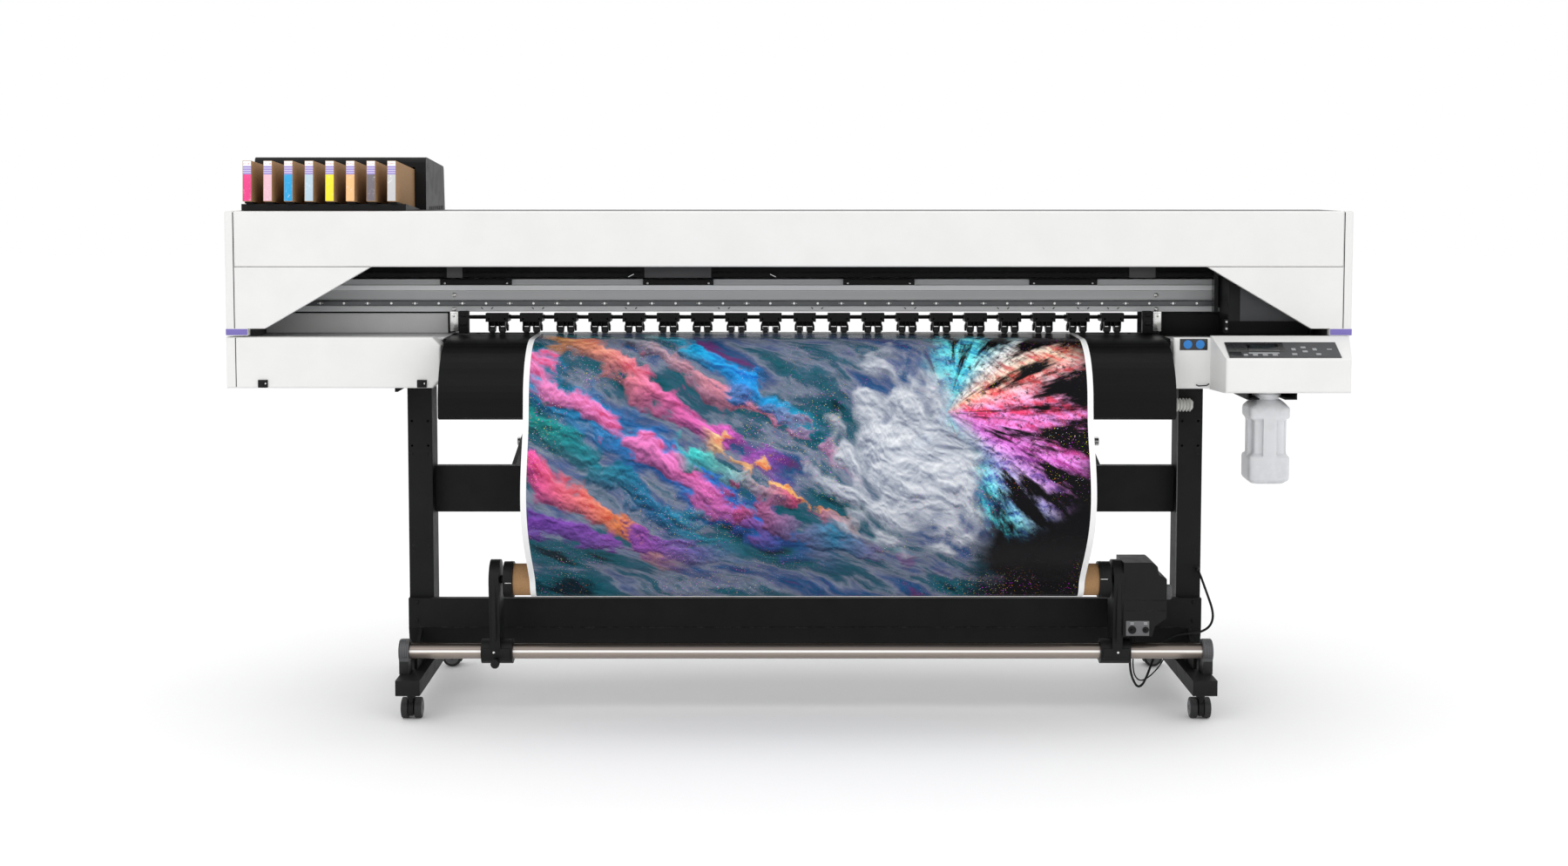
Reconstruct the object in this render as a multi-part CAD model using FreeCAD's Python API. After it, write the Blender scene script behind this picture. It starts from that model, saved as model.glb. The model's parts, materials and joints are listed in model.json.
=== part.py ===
import FreeCAD, Part
import math
import os

# Wide-format roll-to-roll sign printer on a castered stand, in millimetres.
# X runs to the right, Y to the back and Z up; the origin is the centre of the whole printer on the floor.

# ---- driving dimensions -------------------------------------------------------------------------
HALF_WIDTH = 1387.5          # outer faces of the two end covers
FRONT_Y = -200.0             # front face of the covers
BACK_Y = 380.0               # rear face of the covers
LID_Z = 1261.0               # top of the front half of the body
REAR_TOP_Z = 1235.0          # top of the lower, rear half of the body
STEP_Y = 40.0                # where the top steps down
BODY_BOTTOM_Z = 826.0
WINDOW_TOP_Z = 1124.0        # lower edge of the long front cover
WINDOW_BOTTOM_Z = 951.0      # upper edge of the lower covers
END_CAP = 24.5               # width of each end cover
SKIN = 3.0                   # thickness of the moulded covers
SHEET = 2.5                  # thickness of the pressed steel
LID_SHEET = 1.5              # thickness of the folded lid and rear cover

STAND_X = 43.0               # middle of the stand
LEG_OFFSET = 981.0           # from the middle to each leg's centre line
LEG_WIDTH = 62.0
LEG_FRONT_Y = -43.0
LEG_BACK_Y = 40.0
FOOT_WIDTH = 60.0
FOOT_Z = (71.0, 109.0)
FOOT_Y = (-270.0, 400.0)
LEG_HOLE_R = 2.75
LEG_HOLE_PITCH_X = 41.0
LEG_HOLE_PITCH_Z = 63.0
LEG_HOLE_CENTRE_Z = 693.0

WHEEL_R = 26.0
WHEEL_WIDTH = 18.0
WHEEL_GAP = 14.0
CASTER_OFFSET = 16.0
CASTER_BODY = 6.0            # half width of the body between the two wheels

RAIL_Y, RAIL_Z, RAIL_R = -177.0, 163.0, 20.0
RAIL_HALF = 989.0
TAKEUP_Y, TAKEUP_Z = -180.0, 344.0
CORE_R, CORE_BORE_R = 39.5, 37.5
TAKEUP_FILM_R = 41.5
CORE_X = (-684.0, 770.0)

MEDIA_X = (-640.5, 731.5)    # a 1372 mm wide roll
WEB_THICKNESS = 0.6
WEB_GAP = 0.8                # between the film and the curved guides
PLATEN_Z = 944.6
WEB_Z = PLATEN_Z + 0.3 + WEB_THICKNESS / 2
SUPPLY_Y, SUPPLY_Z, SUPPLY_R = 330.0, 625.0, 75.0
BULGE = 122.5                # how far the loop of film swings out between guide and take-up roll
GUIDE_X = (-846.0, 932.0)
GRIT_Y, GRIT_R = 10.0, 12.2
PINCH_R = 8.0
PINCH_COUNT = 19
PINCH_FIRST_X, PINCH_PITCH = -745.0, 87.5
PINCH_SHAFT_Y, PINCH_SHAFT_Z = 50.0, 984.0

YBAR_X = (-1300.0, 1330.0)
YBAR_Y = (30.0, 110.0)
YBAR_Z = (999.0, 1082.0)
PULLEY_R = 15.0
PULLEY_Y = 60.0
PULLEY_X = (-1275.0, 1305.0)
BELT_Z = (1088.0, 1098.0)

INK_COUNT = 8
INK_FIRST_X, INK_PITCH = -1340.0, 50.65
INK_WIDTH, INK_HEIGHT, INK_LENGTH = 22.0, 100.0, 480.0
INK_FRONT_BOTTOM_Z = 1285.0
INK_TILT = 4.4               # the cartons run down towards the back
INK_HOUSING_X = (-1375.0, -934.0)
INK_HOUSING_Y = (70.0, 380.0)
INK_HOUSING_TOP_Z = 1396.5

PANEL_X = (1040.0, 1380.0)
PANEL_FRONT_Y = -300.0
PANEL_LOW_Z, PANEL_HIGH_Z = 905.0, 954.0
KEY_GAP = 0.3                # between a key and its pocket
RUNNING = 0.05               # radial clearance of a running fit

# ---- shape helpers --------------------------------------------------------------------------------
V = FreeCAD.Vector


def slab(x, y, z):
    """Box between two X, two Y and two Z values."""
    return Part.makeBox(x[1] - x[0], y[1] - y[0], z[1] - z[0], V(x[0], y[0], z[0]))


def prism_x(points, x):
    """Outline of (y, z) points, run along X."""
    wire = Part.makePolygon([V(x[0], p[0], p[1]) for p in points + points[:1]])
    return Part.Face(wire).extrude(V(x[1] - x[0], 0, 0))


def prism_y(points, y):
    """Outline of (x, z) points, run along Y."""
    wire = Part.makePolygon([V(p[0], y[0], p[1]) for p in points + points[:1]])
    return Part.Face(wire).extrude(V(0, y[1] - y[0], 0))


def prism_z(points, z):
    """Outline of (x, y) points, run along Z."""
    wire = Part.makePolygon([V(p[0], p[1], z[0]) for p in points + points[:1]])
    return Part.Face(wire).extrude(V(0, 0, z[1] - z[0]))


def rod_x(x, y, z, radius):
    return Part.makeCylinder(radius, x[1] - x[0], V(x[0], y, z), V(1, 0, 0))


def rod_y(y, x, z, radius):
    return Part.makeCylinder(radius, y[1] - y[0], V(x, y[0], z), V(0, 1, 0))


def rod_z(z, x, y, radius):
    return Part.makeCylinder(radius, z[1] - z[0], V(x, y, z[0]), V(0, 0, 1))


def tube_x(x, y, z, outer, inner):
    return rod_x(x, y, z, outer).cut(rod_x(x, y, z, inner))


def fuse(shapes):
    """One clean solid out of several that touch or overlap."""
    shapes = list(shapes)
    return shapes[0].fuse(shapes[1:]).removeSplitter() if len(shapes) > 1 else shapes[0]


def group(shapes):
    return Part.makeCompound(list(shapes))


def round_edges(shape, radius, keep):
    """Fillet the straight edges whose middle point passes the keep test."""
    picked = []
    for edge in shape.Edges:
        middle = edge.valueAt((edge.FirstParameter + edge.LastParameter) / 2)
        if keep(edge, middle):
            picked.append(edge)
    return shape.makeFillet(radius, picked)


def along(axis):
    """Test for an edge that runs along one axis."""
    def test(edge):
        first, last = edge.Vertexes[0].Point, edge.Vertexes[-1].Point
        direction = last.sub(first)
        return direction.Length > 0.1 and abs(getattr(direction, axis)) > 0.999 * direction.Length
    return test


def ribbon(points, thickness, x):
    """Strip of even thickness whose centre line is a list of (y, z) points, run along X."""
    near, far = [], []
    for i, (y, z) in enumerate(points):
        before, after = points[max(i - 1, 0)], points[min(i + 1, len(points) - 1)]
        dy, dz = after[0] - before[0], after[1] - before[1]
        size = math.hypot(dy, dz)
        ny, nz = -dz / size * thickness / 2, dy / size * thickness / 2
        near.append((y + ny, z + nz))
        far.append((y - ny, z - nz))
    return prism_x(near + far[::-1], x)


def ellipse_points(centre, radii, start, stop, count):
    """Points on an ellipse in the YZ plane; 0 degrees is straight up, positive towards the back."""
    points = []
    for i in range(count):
        angle = math.radians(start + (stop - start) * i / (count - 1))
        points.append((centre[0] + radii[0] * math.sin(angle), centre[1] + radii[1] * math.cos(angle)))
    return points


def cord(name, route, diameter):
    """Round cord along straight runs joined by arcs as large as the runs allow."""
    points = [V(*p) for p in route]
    edges, here, radii = [], points[0], []
    for before, corner, after in zip(points, points[1:], points[2:]):
        back, ahead = before.sub(corner), after.sub(corner)
        run = min(back.Length, ahead.Length)
        turn = math.pi - back.getAngle(ahead)
        reach = 0.45 * run
        radii.append(reach / math.tan(turn / 2))
        back.normalize()
        ahead.normalize()
        start, stop = corner.add(back.multiply(reach)), corner.add(ahead.multiply(reach))
        bisector = start.add(stop).multiply(0.5).sub(corner)
        bisector.normalize()
        to_arc = radii[-1] / math.cos(turn / 2) - radii[-1]
        middle = corner.add(bisector.multiply(to_arc))
        edges.append(Part.LineSegment(here, start).toShape())
        edges.append(Part.Arc(start, middle, stop).toShape())
        here = stop
    edges.append(Part.LineSegment(here, points[-1]).toShape())
    path = Part.Wire(edges)
    section = Part.Wire(Part.makeCircle(diameter / 2, points[0], points[1].sub(points[0])))
    solid = path.makePipeShell([section], True, True)
    expected = math.pi * diameter ** 2 / 4 * path.Length
    print(name, "length", round(path.Length, 1), "volume ratio", round(solid.Volume / expected, 4))
    print("  radii", [round(radius) for radius in radii])
    return solid


# ---- stand -----------------------------------------------------------------------------------------
def stand_leg(side):
    """Upright box tube welded to a foot tube, with a gusset, caster plates and tapped holes."""
    x = STAND_X + side * LEG_OFFSET
    half, foot = LEG_WIDTH / 2, FOOT_WIDTH / 2
    upright = slab((x - half, x + half), (LEG_FRONT_Y, LEG_BACK_Y), (FOOT_Z[1], BODY_BOTTOM_Z))
    bore = slab((x - half + SHEET, x + half - SHEET), (LEG_FRONT_Y + SHEET, LEG_BACK_Y - SHEET),
                (FOOT_Z[1] + SHEET, BODY_BOTTOM_Z - SHEET))
    beam = slab((x - foot, x + foot), FOOT_Y, FOOT_Z)
    beam_bore = slab((x - foot + SHEET, x + foot - SHEET), (FOOT_Y[0] + SHEET, FOOT_Y[1] - SHEET),
                     (FOOT_Z[0] + SHEET, FOOT_Z[1] - SHEET))
    gusset = prism_x([(-64, 109), (-64, 196), (-145, 142), (-145, 109)], (x - 4, x + 4))
    plates = [slab((x - 25, x + 25), (y - 25, y + 25), (68, 71)) for y in (FOOT_Y[0] + 50, 360)]
    leg = fuse([upright.cut(bore), beam.cut(beam_bore), gusset] + plates)
    for dx in (-LEG_HOLE_PITCH_X / 2, LEG_HOLE_PITCH_X / 2):
        for dz in (-LEG_HOLE_PITCH_Z / 2, LEG_HOLE_PITCH_Z / 2):
            leg = leg.cut(rod_y((LEG_FRONT_Y - 1, LEG_FRONT_Y + SHEET + 1), x + dx,
                                LEG_HOLE_CENTRE_Z + dz, LEG_HOLE_R))
    return leg


LEG_INNER = LEG_OFFSET - LEG_WIDTH / 2
LEG_OUTER = LEG_OFFSET + LEG_WIDTH / 2


def upper_cross_beam():
    """Pressed channel between the legs, open to the back."""
    x = (STAND_X - LEG_INNER, STAND_X + LEG_INNER)
    outer = slab(x, (5, 35), (484, 603))
    inner = slab((x[0] + SHEET, x[1] - SHEET), (5 + SHEET, 36), (484 + SHEET, 603 - SHEET))
    return outer.cut(inner)


def lower_cross_beam():
    """Folded channel across the front of both legs, creased so that its lower edge leans back."""
    y_leg, y_front = LEG_FRONT_Y, LEG_FRONT_Y - 20
    outline = [(y_leg, 272), (y_front, 272), (y_front, 197), (y_front + 11, 150), (y_leg, 150),
               (y_leg, 150 + SHEET), (y_front + 13, 150 + SHEET), (y_front + SHEET, 197.4),
               (y_front + SHEET, 272 - SHEET), (y_leg, 272 - SHEET)]
    return prism_x(outline, (STAND_X - LEG_OUTER, STAND_X + LEG_OUTER))


def takeup_rail():
    return tube_x((STAND_X - RAIL_HALF, STAND_X + RAIL_HALF), RAIL_Y, RAIL_Z, RAIL_R, RAIL_R - 2)


def rail_end_clamps():
    """Two end blocks that carry the rail on the feet."""
    blocks = []
    for side in (-1, 1):
        inner = STAND_X + side * RAIL_HALF
        x = sorted((inner, inner + side * 24))
        foot = slab(x, (RAIL_Y - 26, RAIL_Y + 26), (FOOT_Z[1], RAIL_Z))
        blocks.append(fuse([rod_x(x, RAIL_Y, RAIL_Z, 29), foot]))
    return group(blocks)


def caster(x, y, heading):
    """Body, axle and stem of a twin-wheel caster, and its two wheels; heading turns it about Z."""
    half = WHEEL_GAP / 2 + WHEEL_WIDTH
    wheel_y = y + CASTER_OFFSET
    fork = rod_x((x - CASTER_BODY, x + CASTER_BODY), wheel_y, WHEEL_R, WHEEL_R + 2)
    fork = fork.cut(slab((x - 20, x + 20), (wheel_y - 40, wheel_y + 40), (-6, WHEEL_R - 16)))
    stem = fuse([rod_z((40, 55), x, y, CASTER_BODY), rod_z((54, 67.7), x, y, 10)])
    axle = rod_x((x - half + 2, x + half - 2), wheel_y, WHEEL_R, 4)
    body = fuse([fork, stem, axle])
    wheels = []
    for side in (-1, 1):
        span = sorted((x + side * (WHEEL_GAP / 2 + 0.5), x + side * half))
        tyre = rod_x(span, wheel_y, WHEEL_R, WHEEL_R)
        rims = [edge for edge in tyre.Edges if edge.Curve.TypeId == "Part::GeomCircle"]
        wheels.append(tyre.makeFillet(3, rims).cut(rod_x((span[0] - 1, span[1] + 1), wheel_y, WHEEL_R,
                                                         4 + RUNNING)))
    pivot, up = V(x, y, 0), V(0, 0, 1)
    body.rotate(pivot, up, heading)
    wheel_pair = group(wheels)
    wheel_pair.rotate(pivot, up, heading)
    return body, wheel_pair


LOWER_COVER_HINGE = (-192.0, 834.0)
LOWER_HINGE_X = (-1310.0, -918.0)
COVER_HINGE = (-188.0, 1250.0)
COVER_HINGE_X = (-1200.0, -400.0, 400.0, 1200.0)
HINGE_PIN_R = 2.5


# ---- printer frame and paper path ----------------------------------------------------------------------
def base_frame():
    """Box beam under the platen and the two side plates that carry the carriage beam."""
    beam = slab((-1344, 1344), (-10, 120), (832, 925))
    beam = beam.cut(slab((-1338, 1338), (-7, 117), (835, 922)))
    beam = beam.cut(slab((-800, 880), (GRIT_Y - GRIT_R - 1.5, GRIT_Y + GRIT_R + 1.5), (914, 926)))
    outline = [(-130, 832), (360, 832), (360, 1215), (-130, 1215)]
    plates = [prism_x(outline, (-1350, -1344)), prism_x(outline, (1344, 1350))]
    pads = [slab((STAND_X + s * LEG_OFFSET - 31, STAND_X + s * LEG_OFFSET + 31), (-43, 40),
                 (BODY_BOTTOM_Z, 832)) for s in (-1, 1)]
    y, z = LOWER_COVER_HINGE
    hinges = []
    for x in LOWER_HINGE_X:
        hinges += [slab((x + d - 1.5, x + d + 1.5), (y - 3.5, -8), (z - 3.5, z + 4)) for d in (-8, 8)]
        hinges.append(rod_x((x - 9, x + 9), y, z, HINGE_PIN_R))
    return fuse([beam] + plates + pads + hinges)


def platen():
    """Flat table with a slot for the grit roller."""
    table = slab((-856, 946), (-168, 28), (925.2, PLATEN_Z))
    return table.cut(slab((-800, 880), (GRIT_Y - GRIT_R - 1.5, GRIT_Y + GRIT_R + 1.5), (920, 950)))


def front_guide():
    """Curved heater plate that falls from the platen to the front, with closed ends."""
    crown = ellipse_points((-170, 798), (-160, 145), 0, 90, 16)
    tail = [(-330, 767), (-318, 762), (-290, 762)]
    skin = ribbon(crown + tail, SKIN, GUIDE_X)
    inside = ellipse_points((-170, 798), (-159.5, 144.5), 0, 90, 16) + [(-329.5, 768), (-170, 768)]
    ends = [prism_x(inside, (GUIDE_X[0], GUIDE_X[0] + SKIN)),
            prism_x(inside, (GUIDE_X[1] - SKIN, GUIDE_X[1]))]
    return fuse([skin] + ends)


def rear_guide():
    """Curved feed plate behind the platen."""
    crown = ellipse_points((30, 784.5), (258, 158.5), 0, 88, 16)
    return ribbon(crown, SKIN, GUIDE_X)


def tangent_point(point, centre, radius, side):
    """Where a straight line from a (y, z) point touches a circle."""
    dy, dz = point[0] - centre[0], point[1] - centre[1]
    distance = math.hypot(dy, dz)
    angle = math.atan2(dz, dy) + side * math.acos(radius / distance)
    return (centre[0] + radius * math.cos(angle), centre[1] + radius * math.sin(angle))


def web_route():
    """Centre line of the film from the supply roll to the take-up roll."""
    lift = WEB_GAP + WEB_THICKNESS / 2
    guide = ellipse_points((30, 784.5), (258 + 1.5 + lift, 158.5 + 1.5 + lift), 84, 8, 12)
    start = tangent_point(guide[0], (SUPPLY_Y, SUPPLY_Z), SUPPLY_R + lift, -1)
    flat = [(30, WEB_Z), (-170, WEB_Z)]
    front = ellipse_points((-170, 798), (-160 - 1.5 - lift, 145 + 1.5 + lift), 8, 88, 12)
    bulge = [(-337, 768)]
    top, low = (-337.0, 768.0), (-223.0, 344.0)
    for i in range(1, 14):
        t = i / 14
        sag = BULGE * math.sin(math.pi * t) ** 1.25 * (1 + 0.25 * (t - 0.5))
        bulge.append((top[0] + (low[0] - top[0]) * t - sag, top[1] + (low[1] - top[1]) * t))
    wrap_r = TAKEUP_FILM_R + lift
    wrap = ellipse_points((TAKEUP_Y, TAKEUP_Z), (-wrap_r, wrap_r), 92, 180, 8)
    return [start] + guide + flat + front + bulge + wrap


def media_web():
    return ribbon(web_route(), WEB_THICKNESS, MEDIA_X)


def y_bar():
    """Hollow aluminium beam with a stepped front face."""
    y, z = YBAR_Y, YBAR_Z
    front = [(y[0], z[0]), (y[0], 1028.5), (y[0] + 4, 1029.5), (y[0] + 4, 1053), (y[0], 1054),
             (y[0], 1067), (y[0] + 4, 1068), (y[0] + 8, z[1])]
    bar = prism_x(front + [(y[1], z[1]), (y[1], z[0])], YBAR_X)
    bore = slab((YBAR_X[0] + 20, YBAR_X[1] - 20), (y[0] + 12, y[1] - 4), (z[0] + 5, z[1] - 5))
    ends = [slab((-1344, YBAR_X[0]), (y[0] + 8, y[1]), z), slab((YBAR_X[1], 1344), (y[0] + 8, y[1]), z)]
    return fuse([bar.cut(bore)] + ends)


def linear_rail():
    rail = slab((YBAR_X[0] + 10, YBAR_X[1] - 10), (YBAR_Y[0] - 10, YBAR_Y[0]), (1014.5, 1027.5))
    return round_edges(rail, 1.5, lambda e, m: along("x")(e) and m.y < YBAR_Y[0] - 5)


def drive_belt():
    """Toothed belt loop that pulls the carriage, above the beam."""
    def loop(radius):
        span = slab(PULLEY_X, (PULLEY_Y - radius, PULLEY_Y + radius), BELT_Z)
        return fuse([span] + [rod_z(BELT_Z, x, PULLEY_Y, radius) for x in PULLEY_X])
    return loop(PULLEY_R + 1.8).cut(loop(PULLEY_R + 0.3))


def pulley(x):
    wheel = rod_z((BELT_Z[0] - 1, BELT_Z[1] + 1), x, PULLEY_Y, PULLEY_R)
    shaft = rod_z((BELT_Z[1] + 1, BELT_Z[1] + 9), x, PULLEY_Y, 4)
    return fuse([wheel, shaft])


def carriage():
    """Print head carriage, parked over the maintenance station at the right."""
    body = [(-120, 1108), (42.4, 1108), (42.4, 1090), (19.4, 1090), (19.4, 1012), (-16, 1012),
            (-16, 951), (-95, 951), (-120, 985)]
    box = prism_x(body, (1100, 1305))
    return round_edges(box, 6, lambda e, m: along("x")(e) and m.z > 1100 and m.y < -100)


def grit_roller():
    return rod_x((-790, 870), GRIT_Y, PLATEN_Z - GRIT_R, GRIT_R)


PINCH_Z = PLATEN_Z + 0.9 + 0.3 + PINCH_R


def pinch_arms():
    """Row of sprung arms on one lifting shaft, each with two forks for its rollers."""
    parts = [rod_x((-868, 905), PINCH_SHAFT_Y, PINCH_SHAFT_Z, 5)]
    for i in range(PINCH_COUNT):
        x = PINCH_FIRST_X + i * PINCH_PITCH
        block = prism_x([(-5, 975), (-5, 997), (22, 997), (22, 990), (60, 990), (60, 975)],
                        (x - 28.5, x + 28.5))
        holes = [rod_y((-6, 61), x + dx, 982.5, 2.2) for dx in (-20.5, 20.5)]
        skirt = prism_y([(x - 21, 975), (x + 21, 975), (x + 25.5, 962), (x - 25.5, 962)], (22, 44))
        feet = [slab((x + dx - 2, x + dx + 2), (24, 42), (950, 963)) for dx in (-23.5, 23.5)]
        parts += [block.cut(group(holes)), skirt] + feet
        for wheel_x in (x - 13, x + 13):
            for cheek in ((wheel_x - 8.6, wheel_x - 7), (wheel_x + 7, wheel_x + 8.6)):
                fork = [(GRIT_Y - 5, 949), (GRIT_Y + 5, 949), (30, 962), (30, 978), (-4, 978), (-4, 962)]
                parts.append(prism_x(fork, cheek))
            parts.append(rod_x((wheel_x - 8, wheel_x + 8), GRIT_Y, PINCH_Z, 2))
    return fuse(parts)


def pinch_rollers():
    rollers = []
    for i in range(PINCH_COUNT):
        for wheel_x in (-13, 13):
            x = PINCH_FIRST_X + i * PINCH_PITCH + wheel_x
            rollers.append(tube_x((x - 6.5, x + 6.5), GRIT_Y, PINCH_Z, PINCH_R, 2 + RUNNING))
    return group(rollers)


CLAMP_LEVER_PIVOT = (150.0, 950.0)


def clamp_lever():
    """Hand lever at the rear that lifts the pinch rollers."""
    y, z = CLAMP_LEVER_PIVOT
    hub = rod_x((-886, -872), y, z, 16)
    arm = prism_x([(y, z + 9), (365, 912), (365, 898), (y, z - 9)], (-884, -876))
    grip = rod_x((-894, -866), 365, 905, 14)
    return fuse([hub, arm, grip])


# ---- covers ------------------------------------------------------------------------------------------
COVER_X = (-HALF_WIDTH + END_CAP, HALF_WIDTH - END_CAP)


def top_cover():
    """Lid plate, stepped rear top and back wall, with a wide slot at the back for the film."""
    outer = [(-172, LID_Z), (STEP_Y, LID_Z), (STEP_Y, REAR_TOP_Z), (BACK_Y, REAR_TOP_Z),
             (BACK_Y, BODY_BOTTOM_Z + 4)]
    t = LID_SHEET
    inner = [(BACK_Y - t, BODY_BOTTOM_Z + 4), (BACK_Y - t, REAR_TOP_Z - t), (STEP_Y - t, REAR_TOP_Z - t),
             (STEP_Y - t, LID_Z - t), (-172, LID_Z - t)]
    shell = prism_x(outer + inner, (COVER_X[0] + 0.5, COVER_X[1] - 0.5))
    slot = slab((-900, 960), (BACK_Y - 10, BACK_Y + 1), (BODY_BOTTOM_Z, 985))
    front_rib = slab((COVER_X[0] + 0.5, COVER_X[1] - 0.5), (-172, -172 + t), (LID_Z - 34, LID_Z - t))
    y, z = COVER_HINGE
    arm = [(y - 3, z + 1), (y, z + 4), (y + 4, z), (y + 3.5, z - 2.5), (-171, z - 17.5), (-171, z - 26),
           (y - 2, z - 4)]
    hinges = []
    for x in COVER_HINGE_X:
        hinges += [prism_x(arm, (x + d - 1.5, x + d + 1.5)) for d in (-9, 9)]
        hinges.append(rod_x((x - 10, x + 10), y, z, HINGE_PIN_R))
    return fuse([shell.cut(slot), front_rib] + hinges)


def front_cover():
    """Long hinged cover across the front, a shell with its top and bottom edges turned in."""
    x = (COVER_X[0] + 0.6, COVER_X[1] - 0.6)
    outer = slab(x, (FRONT_Y, -178), (WINDOW_TOP_Z, LID_Z))
    outer = round_edges(outer, 5, lambda e, m: along("x")(e) and m.y < FRONT_Y + 1)
    inner = slab((x[0] + SKIN, x[1] - SKIN), (FRONT_Y + SKIN, -170),
                 (WINDOW_TOP_Z + SKIN, LID_Z - SKIN))
    y, z = COVER_HINGE
    shell = outer.cut(inner)
    for x in COVER_HINGE_X:
        barrel = rod_x((x - 6, x + 6), y, z, 5)
        shell = fuse([shell, barrel, slab((x - 6, x + 6), (y - 2, y + 2), (z, LID_Z - 1))])
        shell = shell.cut(rod_x((x - 7, x + 7), y, z, HINGE_PIN_R + RUNNING))
    return shell


def end_cover(side):
    """Moulded end cap of the body; its front stops above the lower covers."""
    low_y = -26 if side > 0 else -132
    outline = [(FRONT_Y, 954.5), (FRONT_Y, LID_Z), (STEP_Y, LID_Z), (STEP_Y + 26, REAR_TOP_Z),
               (BACK_Y, REAR_TOP_Z), (BACK_Y, BODY_BOTTOM_Z), (low_y, BODY_BOTTOM_Z), (low_y, 954.5)]
    x = sorted((side * HALF_WIDTH, side * (HALF_WIDTH - END_CAP)))
    outer = prism_x(outline, x)
    outer = round_edges(outer, 9, lambda e, m: abs(abs(m.x) - HALF_WIDTH) < 0.1 and m.y < STEP_Y
                        and (m.y < FRONT_Y + 1 or m.z > LID_Z - 1))
    t = SKIN
    inside = [(FRONT_Y + t, 954.5 + t), (FRONT_Y + t, LID_Z - t), (STEP_Y - 2, LID_Z - t),
              (STEP_Y + 24, REAR_TOP_Z - t), (BACK_Y - t, REAR_TOP_Z - t), (BACK_Y - t, BODY_BOTTOM_Z + t),
              (low_y + t, BODY_BOTTOM_Z + t), (low_y + t, 954.5 + t)]
    hollow = sorted((side * (HALF_WIDTH - SKIN), side * (HALF_WIDTH - END_CAP - 1)))
    return outer.cut(prism_x(inside, hollow))


def corner_covers():
    """Two slanted covers below the ends of the front cover."""
    plates = []
    for side, reach, low in ((-1, 1029, 1291), (1, 1031, 1287)):
        outline = [(side * COVER_X[1], 1123.5), (side * reach, 1123.5), (side * low, 972),
                   (side * 1333, 972), (side * 1333, 954.5), (side * COVER_X[1], 954.5)]
        plate = prism_y(outline, (FRONT_Y, FRONT_Y + 26))
        slope_x, slope_z = 262.0, 151.5
        size = math.hypot(slope_x, slope_z)
        shift = SKIN * size / slope_z
        inside = [(side * (COVER_X[1] + 1), 1123.5 - SKIN), (side * (reach + shift + 6), 1123.5 - SKIN),
                  (side * (low + shift), 972 + SKIN), (side * (COVER_X[1] + 1), 972 + SKIN)]
        plates.append(plate.cut(prism_y(inside, (FRONT_Y + SKIN, FRONT_Y + 30))))
    return group(plates)


def left_lower_cover():
    """Hinged cover of the left end, a shell with a bevelled right end."""
    x0, x1 = -HALF_WIDTH, -858.0
    outline = [(x0, 824), (x1 - 20, 824), (x1, 846), (x1, 930), (x1 - 21, WINDOW_BOTTOM_Z),
               (x0, WINDOW_BOTTOM_Z)]
    outer = prism_y(outline, (FRONT_Y, -136))
    outer = round_edges(outer, 6, lambda e, m: m.y < FRONT_Y + 1)
    swing = prism_x([(-170, 952), (-130, 936.7), (-130, 952)], (x0 - 1, x1 + 1))
    outer = outer.cut(swing)
    inside = [(x0 + SKIN, 821), (x1 - 21, 821), (x1 - SKIN, 848), (x1 - SKIN, 929),
              (x1 - 22, WINDOW_BOTTOM_Z - SKIN), (x0 + SKIN, WINDOW_BOTTOM_Z - SKIN)]
    shell = outer.cut(prism_y(inside, (FRONT_Y + SKIN, -130)))
    y, z = LOWER_COVER_HINGE
    ears = [slab((x - 5, x + 5), (FRONT_Y + SKIN - 0.5, y + 6), (z - 6, z + 6)) for x in LOWER_HINGE_X]
    bores = [rod_x((x - 6, x + 6), y, z, HINGE_PIN_R + RUNNING) for x in LOWER_HINGE_X]
    return fuse([shell] + ears).cut(group(bores))


PANEL_BACK_Y = -188.0        # behind here the housing's top drops to clear the carriage


def panel_housing():
    """Right-hand housing: a recessed block and the console that stands out with a sloping top."""
    block = prism_y([(948, 823), (1060, 823), (1060, 950), (948, 950)], (FRONT_Y, -30))
    block = round_edges(block, 6, lambda e, m: m.y < FRONT_Y + 1 and m.x < 1050)
    side = [(PANEL_FRONT_Y, 822), (PANEL_FRONT_Y, PANEL_LOW_Z), (FRONT_Y, PANEL_HIGH_Z),
            (-30, PANEL_HIGH_Z), (-30, 822)]
    plan = [(PANEL_X[0], -30), (PANEL_X[0], FRONT_Y), (PANEL_X[0] + 17, PANEL_FRONT_Y),
            (PANEL_X[1] - 20, PANEL_FRONT_Y), (PANEL_X[1], FRONT_Y), (PANEL_X[1], -30)]
    console = prism_x(side, PANEL_X).common(prism_z(plan, (800, 1000)))
    console = round_edges(console, 7, lambda e, m: m.y < PANEL_FRONT_Y + 1)
    shell = fuse([block, console])
    shell = shell.cut(slab((940, 1390), (PANEL_BACK_Y, -20), (940, 960)))
    hollow = prism_x([(PANEL_FRONT_Y + 4, 826), (PANEL_FRONT_Y + 4, PANEL_LOW_Z - 7),
                      (FRONT_Y + 2, PANEL_HIGH_Z - 6), (PANEL_BACK_Y - 3, PANEL_HIGH_Z - 6),
                      (PANEL_BACK_Y - 3, 937), (-29, 937), (-29, 826)], (PANEL_X[0] + 24, PANEL_X[1] - 26))
    side_hollow = slab((951, PANEL_X[0] + 25), (FRONT_Y + SKIN, -29), (826, 937))
    leg_x = STAND_X + LEG_OFFSET
    leg_notch = slab((leg_x - LEG_WIDTH / 2 - 0.5, leg_x + LEG_WIDTH / 2 + 0.5), (LEG_FRONT_Y - 0.5, -20),
                     (820, 834))
    plate_notch = slab((1343.5, 1350.5), (-130.5, -20), (930, 960))
    return shell.cut(hollow).cut(side_hollow).cut(leg_notch).cut(plate_notch)


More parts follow.
